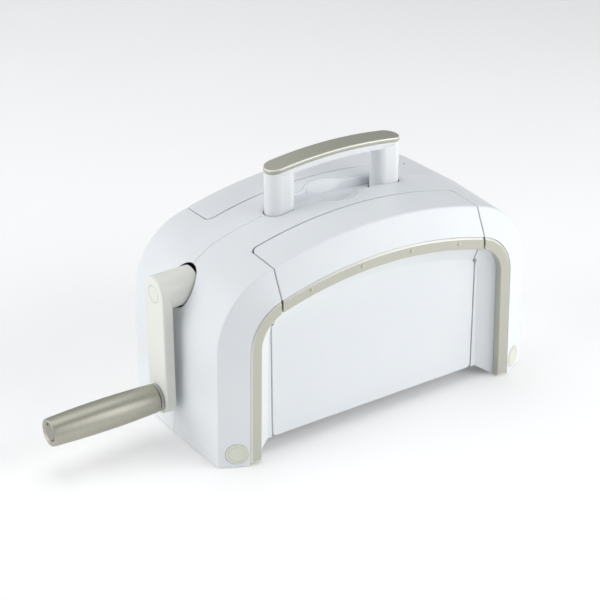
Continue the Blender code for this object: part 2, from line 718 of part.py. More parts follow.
def build_spindle(parent):
    """Steel pin that the grip turns on, with a flat head near its outer end."""
    head = GRIP_END_X + 3.0
    profile = [(head, 0), (head, 7.5), (head + 3.2, 7.5), (head + 3.2, SPINDLE_RADIUS),
               (-184.0, SPINDLE_RADIUS), (-184.0, 0)]
    spindle = turned(profile, (0, GRIP_Z), 16)
    return finish(spindle, "grip_spindle", "steel", (ARM_X[0], 0, GRIP_Z), parent)


def build_collar(parent):
    """Spacer ring between the arm and the grip."""
    bore = SPINDLE_RADIUS + GAP
    outer, inner = ARM_X[0] - GAP, GRIP_ROOT_X + GAP
    profile = [(outer, bore), (outer, 11.6), (inner, 11.6), (inner, bore)]
    collar = turned(profile, (0, GRIP_Z), 24)
    return finish(collar, "grip_collar", "warm_plastic", (ARM_X[0], 0, GRIP_Z), parent)


# ---------------------------------------------------------------- carry handle

def build_handle(parent):
    """Two posts and the bar between them, with stop flanges at the posts' lower ends."""
    handle = prism(stadium(BAR_HALF_LENGTH, POST_HALF_WIDTH), "Z", 200, 260)
    keep_inside(handle, arch_slab(BAR_UNDER_RADIUS, BAR_TOP_RADIUS, 90, 30))
    for hand in (-1, 1):
        centre = (hand * POST_X, 0)
        outline = stadium(POST_HALF_LENGTH, POST_HALF_WIDTH, centre)
        flange = stadium(POST_HALF_LENGTH + 1.5, POST_HALF_WIDTH + 1.5, centre)
        weld(handle, prism(outline, "Z", POST_BOTTOM_Z + 1, 238.5),
             prism(flange, "Z", POST_BOTTOM_Z, POST_BOTTOM_Z + 3.0))
    return finish(handle, "carry_handle", "white_plastic", (0, 0, POST_BOTTOM_Z), parent)


def build_handle_cover(parent):
    """Satin cover along the top of the bar."""
    cover = prism(stadium(BAR_HALF_LENGTH + 0.3, POST_HALF_WIDTH + 0.6), "Z", 200, 280)
    keep_inside(cover, arch_slab(BAR_TOP_RADIUS + GAP, COVER_TOP_RADIUS, 90, 30))
    return finish(cover, "handle_top_cover", "satin_trim", (0, 0, POST_BOTTOM_Z), parent)


def build_post_guide(name, hand, parent):
    """Sleeve below the well that a post slides in."""
    centre = (hand * POST_X, 0)
    guide = prism(stadium(POST_HALF_LENGTH + 2.6, POST_HALF_WIDTH + 2.6, centre), "Z",
                  POST_BOTTOM_Z + 3.3, 184.3)
    cut(guide, prism(stadium(POST_HALF_LENGTH + 0.4, POST_HALF_WIDTH + 0.4, centre), "Z",
                     150, 200))
    return finish(guide, name, "gear_plastic", (centre[0], 0, POST_BOTTOM_Z), parent)


def build_handle_well(parent):
    """Trough that takes the lowered bar, with a round finger scoop in its middle."""
    under_skin = ARCH_RADIUS - 1.7
    well = prism(stadium(WELL_HALF_LENGTH + 3, WELL_HALF_WIDTH + 3), "Z", 180, 215)
    weld(well, disc("Z", (0, 0), 26.0, 180, 215, 32))
    keep_inside(well, arch_slab(WELL_UNDER_RADIUS, under_skin, 100, 40))
    trough = prism(stadium(WELL_HALF_LENGTH, WELL_HALF_WIDTH), "Z", 170, 230)
    keep_inside(trough, arch_slab(WELL_FLOOR_RADIUS, ARCH_RADIUS + 10, 100, 40))
    cut(well, trough, scoop_ball())
    for hand in (-1, 1):
        post = stadium(POST_HALF_LENGTH + 0.4, POST_HALF_WIDTH + 0.4, (hand * POST_X, 0))
        cut(well, prism(post, "Z", 170, 230))
    return finish(well, "handle_well", "white_plastic", (0, 0, 190), parent)


# ---------------------------------------------------------------- assembly

def main():
    clear_scene()
    frame = make_empty("machine_frame", (0, 0, 0))
    frame.location = (-CENTRE_X * MM, 0, 0)
    crank = make_empty("crank_axis", (0, 0, CRANK_Z), frame)
    grip = make_empty("grip_axis", (GRIP_ROOT_X, 0, GRIP_Z), frame)
    lower = make_empty("lower_roller_axis", (0, 0, LOWER_ROLLER_Z), frame)
    upper = make_empty("upper_roller_axis", (0, 0, UPPER_ROLLER_Z), frame)
    carry = make_empty("carry_handle_slide", (0, 0, POST_BOTTOM_Z), frame)

    for word, side in (("front", -1), ("rear", 1)):
        flap = make_empty(word + "_flap_axis", (0, side * HINGE_Y, HINGE_Z), frame)
        build_casing(word + "_casing", side, frame)
        build_arch_trim(word + "_arch_trim", side, flap)
        build_inner_cover(word + "_inner_cover", side, frame)
        build_flap_shell(word + "_flap_shell", side, flap)
        build_platform_plate(word + "_platform_plate", side, flap)
        build_bed_plate(word + "_bed_plate", side, frame)
        build_tie_rod(word + "_tie_rod", side, frame)
        for wing, hand in (("left", -1), ("right", 1)):
            corner = word + "_" + wing
            build_leg_trim(corner + "_leg_trim", side, hand, frame)
            build_plug(corner + "_plug", side, hand, frame)
            build_foot(corner + "_foot", side, hand, frame)
            build_hinge_pin(corner + "_hinge_pin", side, hand, frame)

    build_base(frame)
    for wing, hand in (("left", -1), ("right", 1)):
        build_side_plate(wing + "_side_plate", hand, frame)
        build_post_guide(wing + "_post_guide", hand, frame)
        bush_x = (hand * 114.0, hand * (SIDE_PLATE_X - GAP), hand * 121.5)
        for word, z in (("lower", LOWER_ROLLER_Z), ("upper", UPPER_ROLLER_Z)):
            build_bush(f"{word}_roller_{wing}_bush", SHAFT_RADIUS + GAP, BUSH_RADIUS,
                       BUSH_FLANGE_RADIUS, bush_x, (0, z), frame)

    build_roller("lower_roller", LOWER_ROLLER_Z, LOWER_SHAFT_END_X, lower)
    build_roller("upper_roller", UPPER_ROLLER_Z, UPPER_SHAFT_END_X, upper)
    up, down = math.pi / 2, -math.pi / 2
    half_pitch = math.pi / ROLLER_GEAR_TEETH
    build_gear("lower_roller_gear", ROLLER_GEAR_TEETH, ROLLER_GEAR_MODULE, LOWER_ROLLER_Z,
               ROLLER_GEAR_X, SHAFT_RADIUS, up + half_pitch, lower)
    build_gear("upper_roller_gear", ROLLER_GEAR_TEETH, ROLLER_GEAR_MODULE, UPPER_ROLLER_Z,
               ROLLER_GEAR_X, SHAFT_RADIUS, down, upper)
    build_gear("driven_gear", DRIVEN_TEETH, DRIVE_MODULE, UPPER_ROLLER_Z, DRIVE_GEAR_X,
               SHAFT_RADIUS, up + math.pi / DRIVEN_TEETH, upper)
    build_gear("drive_pinion", PINION_TEETH, DRIVE_MODULE, CRANK_Z, DRIVE_GEAR_X,
               CRANK_SHAFT_RADIUS, down, crank)
    build_gear_bracket(frame)

    crank_centre = (0, CRANK_Z)
    build_bush("crank_inner_bush", CRANK_SHAFT_RADIUS + GAP, CRANK_BUSH_RADIUS, 10.0,
               (-123.0, -120.3, -116.5), crank_centre, frame)
    build_bush("crank_outer_bush", CRANK_SHAFT_RADIUS + GAP, CRANK_BUSH_RADIUS, 10.0,
               (-146.5, -148.7, -152.5), crank_centre, frame)
    build_crank_shaft(crank)
    build_crank_arm(crank)
    build_arm_cap(crank)
    build_spindle(crank)
    build_collar(crank)
    build_grip(grip)
    build_grip_cap(grip)

    build_handle(carry)
    build_handle_cover(carry)
    build_handle_well(frame)


main()
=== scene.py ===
import math

import bmesh
import bpy
from mathutils import Matrix, Vector


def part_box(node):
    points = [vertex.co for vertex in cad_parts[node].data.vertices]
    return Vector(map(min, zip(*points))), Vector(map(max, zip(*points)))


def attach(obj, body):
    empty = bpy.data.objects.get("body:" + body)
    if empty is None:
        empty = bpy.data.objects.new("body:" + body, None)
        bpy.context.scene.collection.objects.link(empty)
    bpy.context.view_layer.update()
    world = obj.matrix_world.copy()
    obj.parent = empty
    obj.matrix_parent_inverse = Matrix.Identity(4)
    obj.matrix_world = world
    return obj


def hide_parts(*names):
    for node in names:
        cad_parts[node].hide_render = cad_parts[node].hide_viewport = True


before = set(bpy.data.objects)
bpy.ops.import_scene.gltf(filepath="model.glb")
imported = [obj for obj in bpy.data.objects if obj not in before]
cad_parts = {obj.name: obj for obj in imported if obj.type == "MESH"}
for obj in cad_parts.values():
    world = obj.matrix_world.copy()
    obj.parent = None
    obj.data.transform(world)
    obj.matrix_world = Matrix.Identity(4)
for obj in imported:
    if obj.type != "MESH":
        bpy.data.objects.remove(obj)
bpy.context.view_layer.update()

# ---------------------------------------------------------------- base plate
# A flat pressed sheet of zinc-plated steel across the underside, cut back below the flaps.
# The frame plates stand on it and the two halves of the case are screwed to it.
MM = 0.001
SIDES = (("front", -1), ("rear", 1))
CORNERS = [(f"{word}_{wing}", side, hand) for word, side in SIDES
           for wing, hand in (("left", -1), ("right", 1))]
MID_X = sum(corner.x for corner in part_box("base_plate")) / 2   # the crank hangs to its left
BASE_WAIST_LENGTH = 137.0
BASE_WAIST_DEPTH = 57.5
BASE_CORNER = 6.0
WAIST_CORNER = 2.0
NOISE_SPAN = (0.3, 0.7)     # nearly all of a noise pattern's values lie between these


def node_box(name):
    """Low and high corners of a CAD node in millimetres, X from the middle of the case."""
    return [(Vector(corner) - Vector((MID_X, 0, 0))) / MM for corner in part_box(name)]


def soften(corners, steps=4):
    """A closed outline whose corners (a, b, radius) are rounded with short arcs."""
    outline = []
    for k, (a, b, radius) in enumerate(corners):
        here = Vector((a, b))
        if radius == 0:
            outline.append((a, b))
            continue
        back = (Vector(corners[k - 1][:2]) - here).normalized()
        ahead = (Vector(corners[(k + 1) % len(corners)][:2]) - here).normalized()
        half = back.angle(ahead) / 2
        centre = here + (back + ahead).normalized() * radius / math.sin(half)
        first = here + back * radius / math.tan(half) - centre
        turn = math.copysign(math.pi - 2 * half, -back.cross(ahead))
        for step in range(steps + 1):
            c, s = math.cos(turn * step / steps), math.sin(turn * step / steps)
            outline.append((centre.x + first.x * c - first.y * s,
                            centre.y + first.x * s + first.y * c))
    return outline


def eased(low, high, radius, high_radius=None, steps=3):
    """Levels (place, inset) through a plate's thickness, both its edges rounded."""
    levels = []
    for end, way, size in ((low, 1, radius), (high, -1, high_radius or radius)):
        edge = []
        for step in range(steps + 1):
            angle = math.pi / 2 * step / steps
            edge.append((end + way * size * (1 - math.cos(angle)),
                         size * (1 - math.sin(angle))))
        levels += edge[::way]
    return levels


def join_rows(bm, rings):
    """Rings of equal length joined into an open skin; returns their rows of vertices."""
    rows = [[bm.verts.new(point) for point in ring] for ring in rings]
    for here, there in zip(rows, rows[1:]):
        for k in range(len(here)):
            nxt = (k + 1) % len(here)
            bm.faces.new((here[k], here[nxt], there[nxt], there[k]))
    return rows


def loft(rings):
    """A closed solid through rings of equal length, its two ends filled flat."""
    bm = bmesh.new()
    rows = join_rows(bm, rings)
    bm.faces.new(rows[0])
    bm.faces.new(rows[-1])
    return blank(bm)


def blank(bm):
    """A work-piece from a mesh drawn in millimetres about the middle of the case."""
    bmesh.ops.remove_doubles(bm, verts=bm.verts, dist=1e-4)
    bmesh.ops.recalc_face_normals(bm, faces=bm.faces)
    bmesh.ops.scale(bm, vec=(MM, MM, MM), verts=bm.verts)
    bmesh.ops.translate(bm, vec=(MID_X, 0, 0), verts=bm.verts)
    mesh = bpy.data.meshes.new("blank")
    bm.to_mesh(mesh)
    bm.free()
    item = bpy.data.objects.new("blank", mesh)
    bpy.context.collection.objects.link(item)
    return item


def slab(outline_at, axis, levels):
    """A plate across an axis: outline_at(inset) drawn at each level (place, inset)."""
    order = {"X": (2, 0, 1), "Y": (0, 2, 1), "Z": (0, 1, 2)}[axis]
    return loft([[tuple((a, b, place)[k] for k in order) for a, b in outline_at(inset)]
                 for place, inset in levels])


def bake_modifiers(item):
    """Turn a piece and its modifiers into one plain mesh."""
    bpy.context.view_layer.update()
    evaluated = item.evaluated_get(bpy.context.evaluated_depsgraph_get())
    mesh = bpy.data.meshes.new_from_object(evaluated)
    item.modifiers.clear()
    item.data = mesh


def piece(item, name, material, sharp=32.0):
    """Finish a blank: its name, its material, and smooth faces up to an edge's angle."""
    item.name = name
    item.data.name = name
    item.data.materials.clear()
    item.data.materials.append(material)
    item.data.shade_smooth()
    item.data.set_sharp_from_angle(angle=math.radians(sharp))
    even = item.modifiers.new("even", "WEIGHTED_NORMAL")
    even.keep_sharp = True
    bake_modifiers(item)
    return item


def fit(item, body, slot, *nodes):
    """Fix a piece to its body in place of the CAD nodes, which are hidden. The slot is not used.
    """
    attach(item, body)
    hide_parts(*nodes)


def add_node(tree, kind, links=None, **settings):
    """A node with its settings, its sockets linked or set to values by name or number."""
    node = tree.nodes.new(kind)
    for key, value in settings.items():
        setattr(node, key, value)
    for socket, value in (links or {}).items():
        if isinstance(value, bpy.types.NodeSocket):
            tree.links.new(value, node.inputs[socket])
        else:
            node.inputs[socket].default_value = value
    return node


def pattern(tree, scale, stretch=(1, 1, 1), detail=3.0):
    """Noise in object space; a stretched axis runs the pattern along it."""
    place = add_node(tree, "ShaderNodeTexCoord")
    mapping = add_node(tree, "ShaderNodeMapping", {
        "Vector": place.outputs["Object"], "Scale": stretch})
    noise = add_node(tree, "ShaderNodeTexNoise", {
        "Vector": mapping.outputs["Vector"], "Scale": scale, "Detail": detail})
    return noise.outputs["Fac"]


def finish_of(name, tones, gloss, fine, drift=None, sheen=None, relief=None, metal=0.0):
    """A material between two tones and two roughnesses. Its relief (height, strength) follows
    the fine pattern, and so do tone and gloss where drift and sheen give no other pattern."""
    material = bpy.data.materials.new(name)
    material.use_nodes = True
    tree = material.node_tree
    shader = tree.nodes["Principled BSDF"]
    shader.inputs["Base Color"].default_value = (*tones[1], 1)
    shader.inputs["Roughness"].default_value = gloss[0]
    shader.inputs["Metallic"].default_value = metal
    grain = pattern(tree, *fine)
    ramp = add_node(tree, "ShaderNodeValToRGB", {"Fac": pattern(tree, *drift) if drift else grain})
    for stop, place, tone in zip(ramp.color_ramp.elements, NOISE_SPAN, tones):
        stop.position = place
        stop.color = (*tone, 1)
    tree.links.new(ramp.outputs["Color"], shader.inputs["Base Color"])
    if gloss[0] != gloss[1]:
        span = add_node(tree, "ShaderNodeMapRange", {
            "Value": pattern(tree, *sheen) if sheen else grain, "From Min": NOISE_SPAN[0],
            "From Max": NOISE_SPAN[1], "To Min": gloss[0], "To Max": gloss[1]})
        tree.links.new(span.outputs["Result"], shader.inputs["Roughness"])
    if relief:
        bump = add_node(tree, "ShaderNodeBump", {
            "Height": grain, "Distance": relief[0], "Strength": relief[1]})
        tree.links.new(bump.outputs["Normal"], shader.inputs["Normal"])
    return material


def rolled_steel(name, stretch):
    """Zinc-plated sheet with the faint lines of the rolling mill along one axis."""
    return finish_of(name, ((0.50, 0.51, 0.53), (0.62, 0.63, 0.64)), (0.28, 0.42),
                     (700.0, stretch), drift=(45.0,), relief=(0.00002, 0.25), metal=1.0)


def shade_nodes(material, *names):
    """Give CAD nodes that keep their own shape a better material."""
    for name in names:
        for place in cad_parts[name].material_slots:
            place.material = material


def base_outline(inset):
    long, deep = base_high.x - inset, base_high.y - inset
    waist, narrow = BASE_WAIST_LENGTH + inset, BASE_WAIST_DEPTH - inset
    outer, inner = BASE_CORNER - inset, WAIST_CORNER
    half = [(long, deep, outer), (waist, deep, inner - inset), (waist, narrow, inner + inset),
            (-waist, narrow, inner + inset), (-waist, deep, inner - inset),
            (-long, deep, outer)]
    return soften(half + [(-x, -y, corner) for x, y, corner in half])


sheet_lengthwise = rolled_steel("zinc_sheet_lengthwise", (0.04, 1, 1))
base_low, base_high = node_box("base_plate")
base = slab(base_outline, "Z", eased(base_low.z, base_high.z, 0.4))
fit(piece(base, "base_sheet", sheet_lengthwise), "machine_body", "frame_steel", "base_plate")

# ---------------------------------------------------------------- base screws
# Steel screws driven up through the base plate, in two rows along its edges. Each has a low
# domed head, which stands a little proud of the plate between the feet.
SCREW_HEAD_RADIUS = 3.0
SCREW_HEAD_HEIGHT = 1.6
SCREWS_IN_ROW = 5
SCREW_ROW_Y = 50.0
SCREW_SPACING = 44.0


def row_of_studs_tree(name):
    """Domed studs in a straight row along X, or one that follows an arch in XZ."""
    tree = bpy.data.node_groups.new(name, "GeometryNodeTree")
    for label, kind in (("Count", "Int"), ("Spacing", "Float"), ("Middle", "Vector"),
                        ("Arch Radius", "Float"), ("Stud Size", "Vector"),
                        ("Material", "Material")):
        tree.interface.new_socket(label, in_out="INPUT", socket_type="NodeSocket" + kind)
    tree.interface.new_socket("Geometry", in_out="OUTPUT", socket_type="NodeSocketGeometry")
    given = tree.nodes.new("NodeGroupInput").outputs
    result = tree.nodes.new("NodeGroupOutput")

    def maths(operation, *values):
        return add_node(tree, "ShaderNodeMath", dict(enumerate(values)),
                        operation=operation).outputs[0]

    def vector(**parts):
        return add_node(tree, "ShaderNodeCombineXYZ", parts).outputs[0]

    length = maths("MULTIPLY", maths("SUBTRACT", given["Count"], 1.0), given["Spacing"])
    line = add_node(tree, "GeometryNodeMeshLine", {
        "Count": given["Count"], "Start Location": vector(X=maths("MULTIPLY", length, -0.5)),
        "Offset": vector(X=given["Spacing"])})
    spot = add_node(tree, "GeometryNodeInputPosition")
    along = add_node(tree, "ShaderNodeSeparateXYZ", {0: spot.outputs[0]}).outputs["X"]
    rise = maths("SQRT", maths("SUBTRACT", maths("MULTIPLY", given["Arch Radius"],
                                                 given["Arch Radius"]),
                               maths("MULTIPLY", along, along)))
    place = add_node(tree, "ShaderNodeVectorMath", {0: vector(Z=rise), 1: given["Middle"]},
                     operation="ADD")
    seated = add_node(tree, "GeometryNodeSetPosition", {
        "Geometry": line.outputs[0], "Offset": place.outputs[0]})
    dome = add_node(tree, "GeometryNodeMeshUVSphere", {"Segments": 24, "Rings": 12,
                                                       "Radius": 1.0})
    studs = add_node(tree, "GeometryNodeInstanceOnPoints", {
        "Points": seated.outputs[0], "Instance": dome.outputs["Mesh"],
        "Scale": given["Stud Size"]})
    solid = add_node(tree, "GeometryNodeRealizeInstances", {"Geometry": studs.outputs[0]})
    smooth = add_node(tree, "GeometryNodeSetShadeSmooth", {"Geometry": solid.outputs[0]})
    coat = add_node(tree, "GeometryNodeSetMaterial", {
        "Geometry": smooth.outputs[0], "Material": given["Material"]})
    tree.links.new(coat.outputs[0], result.inputs["Geometry"])
    return tree


def grow_studs(name, material, count, spacing, middle, size, arch=0.0):
    """A row of studs, measured in millimetres about the middle of the case."""
    item = bpy.data.objects.new(name, bpy.data.meshes.new(name))
    bpy.context.collection.objects.link(item)
    modifier = item.modifiers.new("grow", "NODES")
    modifier.node_group = stud_row
    values = {"Count": count, "Spacing": spacing * MM, "Arch Radius": arch * MM,
              "Middle": Vector(middle) * MM + Vector((MID_X, 0, 0)),
              "Stud Size": Vector(size) * MM, "Material": material}
    for socket in stud_row.interface.items_tree:
        if socket.in_out == "INPUT":
            modifier[socket.identifier] = values[socket.name]
    bake_modifiers(item)
    item.data.name = name
    return item


stud_row = row_of_studs_tree("row_of_studs")
for word, side in SIDES:
    screws = grow_studs(word + "_base_screws", sheet_lengthwise, SCREWS_IN_ROW, SCREW_SPACING,
                        (0, side * SCREW_ROW_Y, base_low.z),
                        (SCREW_HEAD_RADIUS, SCREW_HEAD_RADIUS, SCREW_HEAD_HEIGHT))
    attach(screws, "machine_body")

# ---------------------------------------------------------------- feet
# Four round rubber feet pressed into the base plate. They are moulded in black rubber with
# a rounded rim and a shallow dish underneath, so that only the rim bears on the table.
FOOT_DISH = 0.6
FOOT_RIM = 3.0


def turned(profile, start=(0, 0, 0), axis=(1, 0, 0), segments=72):
    """Turn a profile of (distance along the axis, radius) about the axis through start."""
    lay = Vector(axis).to_track_quat("Z", "Y").to_matrix()
    bm = bmesh.new()
    rows = []
    for along, radius in profile:
        row = []
        for k in range(segments if radius else 1):
            angle = 2 * math.pi * k / segments
            spoke = Vector((radius * math.cos(angle), radius * math.sin(angle), along))
            row.append(bm.verts.new(Vector(start) + lay @ spoke))
        rows.append(row)
    pairs = list(zip(rows, rows[1:]))
    if profile[0][1] and profile[-1][1]:
        pairs.append((rows[-1], rows[0]))
    for here, there in pairs:
        for k in range(segments):
            nxt = (k + 1) % segments
            corners = [here[k % len(here)], here[nxt % len(here)],
                       there[nxt % len(there)], there[k % len(there)]]
            bm.faces.new(list(dict.fromkeys(corners)))
    return blank(bm)


rubber = finish_of("black_foot_rubber", ((0.028, 0.028, 0.03), (0.05, 0.05, 0.053)),
                   (0.62, 0.85), (900.0,), drift=(120.0,), relief=(0.00004, 0.4))
for corner, _, _ in CORNERS:
    low, high = node_box(corner + "_foot")
    middle = (low + high) / 2
    radius, height = (high.y - low.y) / 2, high.z
    rim = radius - FOOT_RIM
    profile = soften([(FOOT_DISH, 0, 0), (FOOT_DISH, rim, 0.5), (0, rim + 1, 0.8),
                      (0, radius, 1.0), (height, radius, 0.4), (height, 0, 0)])
    foot = turned(profile, (middle.x, middle.y, 0), (0, 0, 1), 48)
    fit(piece(foot, corner + "_rubber_foot", rubber), "machine_body", "foot_rubber",
        corner + "_foot")

# ---------------------------------------------------------------- frame
# Two thick steel side plates with turned-out feet, tied by two round rods, and an outer
# bracket for the crank. Plates and bracket are punched and bent from zinc-plated sheet.
sheet_upright = rolled_steel("zinc_sheet_upright", (1, 1, 0.04))
shade_nodes(sheet_upright, "left_side_plate", "right_side_plate", "gear_bracket")


def turned_steel(name, colour, roughness):
    """Bar turned in a lathe: fine rings of the tool round its axis, which lies along X."""
    return finish_of(name, ([0.93 * part for part in colour], colour),
                     (roughness - 0.05, roughness + 0.08), (900.0, (1.6, 0.03, 0.03)),
                     drift=(60.0,), relief=(0.00001, 0.3), metal=1.0)


rod_steel = turned_steel("turned_rod_steel", (0.58, 0.59, 0.60), 0.26)
for word, _ in SIDES:
    low, high = node_box(word + "_tie_rod")
    middle = (low + high) / 2
    radius = (high.z - low.z) / 2
    rod = turned(soften([(low.x, 0, 0), (low.x, radius, 0.6), (high.x, radius, 0.6),
                         (high.x, 0, 0)]), (0, middle.y, middle.z), segments=48)
    fit(piece(rod, word + "_turned_tie_rod", rod_steel), "machine_body", "frame_steel",
        word + "_tie_rod")

# ---------------------------------------------------------------- rollers and bushes
# Two solid steel pressure rollers, ground to size, with chamfered ends and stepped shafts.
# They run in flanged sintered-bronze bushes pressed into the side plates.
ROLLER_HALF_LENGTH = 113.0
SHAFT_RADIUS = 7.0
BUSH_CLEARANCE = 0.3
BUSH_FLANGE = 3.2
roller_steel = turned_steel("ground_roller_steel", (0.66, 0.67, 0.68), 0.22)
bronze = finish_of("sintered_bronze", ((0.40, 0.26, 0.12), (0.55, 0.38, 0.20)), (0.45, 0.45),
                   (1500.0,), relief=(0.00003, 0.4), metal=1.0)

for word in ("lower", "upper"):
    low, high = node_box(word + "_roller")
    centre = (0, 0, (low.z + high.z) / 2)
    radius = (high.z - low.z) / 2
    half = ROLLER_HALF_LENGTH
    roller = turned(soften([
        (low.x, 0, 0), (low.x, SHAFT_RADIUS, 0.7), (-half, SHAFT_RADIUS, 0.5),
        (-half, radius, 1.0), (half, radius, 1.0), (half, SHAFT_RADIUS, 0.5),
        (high.x, SHAFT_RADIUS, 0.7), (high.x, 0, 0)]), centre, segments=96)
    fit(piece(roller, word + "_ground_roller", roller_steel), word + "_roller",
        "roller_steel", word + "_roller")
    for wing, hand in (("left", -1), ("right", 1)):
        node = f"{word}_roller_{wing}_bush"
        near, far = node_box(node)[::hand]
        flange = abs(far.z - near.z) / 2
        face, end, back = near.x, far.x, near.x + hand * BUSH_FLANGE
        bore = SHAFT_RADIUS + BUSH_CLEARANCE
        bush = turned(soften([(face, bore, 0.4), (face, flange, 0.5), (back, flange, 0.3),
                              (back, flange - 2, 0.2), (end, flange - 2, 0.4),
                              (end, bore, 0.3)], 2), centre, segments=48)
        fit(piece(bush, node + "_ring", bronze), "machine_body", "bush_bronze", node)
shade_nodes(bronze, "crank_inner_bush", "crank_outer_bush")

# ---------------------------------------------------------------- gears
# Nylon spur gears moulded in black: a pair that turns the two rollers together, and a large
# wheel with a small pinion that gears the crank down. They sit between plate and case.
nylon = finish_of("black_gear_nylon", ((0.038, 0.039, 0.042), (0.06, 0.061, 0.066)),
                  (0.40, 0.56), (1100.0,), drift=(90.0,), relief=(0.00003, 0.3))
shade_nodes(nylon, "lower_roller_gear", "upper_roller_gear", "driven_gear", "drive_pinion")

# ---------------------------------------------------------------- beds and inner covers
# White mouldings inside the tunnel: two beds that carry the stack into the rollers, their
# noses rounded, and two upright covers that close the space above the upper roller.
ARCH_CENTRE_Z = -202.1
INNER_COVER_RADIUS = 400.0


def moulded_plastic(name, dark, light, gloss, grain=1400.0, height=0.00003):
    """Injection-moulded plastic: a fine eroded grain and a slight drift in its colour."""
    even = (1, 1, 1)
    return finish_of(name, (dark, light), gloss, (grain, even, 2.0), drift=(11.0, even, 2.0),
                     sheen=(160.0,), relief=(height, 0.22))


def arch_z(x, radius):
    """Height at X of an arc about the arch's centre."""
    return ARCH_CENTRE_Z + math.sqrt(radius ** 2 - x ** 2)


def arch_points(half, radius):
    """Points (x, z) along an arc from the right end to the left."""
    return [(x, arch_z(x, radius)) for x in [half * (1 - k / 16) for k in range(33)]]


CASE_WHITE = (0.80, 0.828, 0.85)
CASE_WHITE_DEEP = (0.775, 0.805, 0.83)
case_plastic = moulded_plastic("white_case_plastic", CASE_WHITE_DEEP, CASE_WHITE, (0.36, 0.46))
inner_plastic = moulded_plastic("white_inner_plastic", (0.70, 0.73, 0.75), (0.75, 0.78, 0.80),
                                (0.45, 0.55), 1000.0, 0.00005)

for word, side in SIDES:
    low, high = node_box(word + "_bed_plate")
    inner, outer = sorted((abs(low.y), abs(high.y)))
    nose = soften([(side * inner, low.z, 0.5), (side * outer, low.z, 0.5),
                   (side * outer, high.z, 1.2), (side * inner, high.z, 1.5)], 5)
    bed = slab(lambda inset: nose, "X", [(low.x, 0), (0, 0), (high.x, 0)])
    fit(piece(bed, word + "_moulded_bed", inner_plastic), "machine_body", "case_white",
        word + "_bed_plate")

    low, high = node_box(word + "_inner_cover")

    def cover_outline(inset):
        half, foot = high.x - inset, low.z + inset
        return [(-half, foot), (half, foot)] + arch_points(half, INNER_COVER_RADIUS - inset)

    cover = slab(cover_outline, "Y", eased(low.y, high.y, 0.5))
    fit(piece(cover, word + "_upright_cover", inner_plastic), "machine_body", "case_white",
        word + "_inner_cover")

# ---------------------------------------------------------------- case halves
# Two white moulded halves that meet at a seam along the middle of the arch. Each turns over
# a soft crease to a chamfer, holds the trim band in a rebate and slopes in to the opening.
FOOT_HALF_WIDTH = 175.0
LEG_LEAN = math.radians(1.2)
LEG_OUT = Vector((math.cos(LEG_LEAN), math.sin(LEG_LEAN)))
SHOULDER_RADIUS = 72.3
ARCH_RADIUS = 405.5
CREASE_Y = 75.0
CREASE_ROUND = 2.6
SEAM_BOW = 2.6
SEAM_GAP = 0.3
CASE_BOTTOM_Z = 1.2
WALL = 3.0
TRIM_OUTER = 26.5
TRIM_WIDTH = 11.6
TRIM_FACE_Y = 88.7
TRIM_BACK_Y = 80.7
CLEARANCE = 0.3
PANEL_Y = 72.5
PANEL_BOTTOM_Z = 12.2
BEVEL_INNER = 54.7
BRIDGE_HALF_DEPTH = 35.6
OPENING_HALF_WIDTH = 115.6
OPENING_STEP_Z = 131.5
CAP_OPENING_HALF_WIDTH = 113.3
CAP_CORNER = 6.3
CRANK_Z = 152.0
HUB_HOLE_RADIUS = 18.7
CASE_END_X = -200.0
CASE_TOP_Z = 230.0
PLUG_RADIUS = 10.4
PLUG_Z = 14.3
PLUG_ALONG_CHAMFER = 0.587
EDGE_CHAMFER = 0.7
EDGE_EASE = 0.3


def combine(item, operation, tools):
    """Weld, cut or trim a blank with other blanks, which are used up."""
    for tool in tools:
        step = item.modifiers.new("step", "BOOLEAN")
        step.operation = operation
        step.solver = "EXACT"
        step.object = tool
        bake_modifiers(item)
        bpy.data.objects.remove(tool, do_unlink=True)
    return item


def skin_z(x, y):
    """Height of the case's top above the table, from the seam out to the crease."""
    return height_at(x, -SEAM_BOW * (1 - abs(y) / CREASE_Y))


def shoulder_centre():
    """Centre (x, z) of the right shoulder, tangent to the leaning leg and to the arch."""
    up_leg = LEG_OUT.orthogonal()
    start = Vector((FOOT_HALF_WIDTH, 0)) - LEG_OUT * SHOULDER_RADIUS
    from_centre = start - Vector((0, ARCH_CENTRE_Z))
    half = from_centre.dot(up_leg)
    reach = ARCH_RADIUS - SHOULDER_RADIUS
    rise = math.sqrt(half ** 2 - from_centre.length_squared + reach ** 2) - half
    return start + up_leg * rise


SHOULDER = shoulder_centre()
JOIN_ANGLE = math.atan2(SHOULDER.y - ARCH_CENTRE_Z, SHOULDER.x)
FOOT = Vector((FOOT_HALF_WIDTH - CASE_BOTTOM_Z * math.tan(LEG_LEAN), CASE_BOTTOM_Z))


def leg_path(heights):
    """Crease points (x, z) at heights up the right leg, with their outward direction."""
    top = SHOULDER + LEG_OUT * SHOULDER_RADIUS
    path = [(FOOT, Vector((1, 0)))]
    for height in heights:
        share = height / (top.y - FOOT.y)
        path.append((FOOT.lerp(top, share), LEG_OUT if height > 8 else Vector((1, 0))))
    return path


def turn_path(centre, radius, start, stop, steps):
    """Crease points round an arc, with their outward direction."""
    outs = [Vector((math.cos(angle), math.sin(angle)))
            for angle in [start + (stop - start) * step / steps for step in range(steps + 1)]]
    return [(Vector(centre) + out * radius, out) for out in outs]


def crease_path():
    """The crease from foot to foot over the whole arch."""
    path = leg_path((30, 60, 90))
    path += turn_path(SHOULDER, SHOULDER_RADIUS, LEG_LEAN, JOIN_ANGLE, 28)
    path += turn_path((0, ARCH_CENTRE_Z), ARCH_RADIUS, JOIN_ANGLE, math.pi / 2, 36)[1:]
    return path + [(Vector((-p.x, p.y)), Vector((-n.x, n.y))) for p, n in path[-2::-1]]


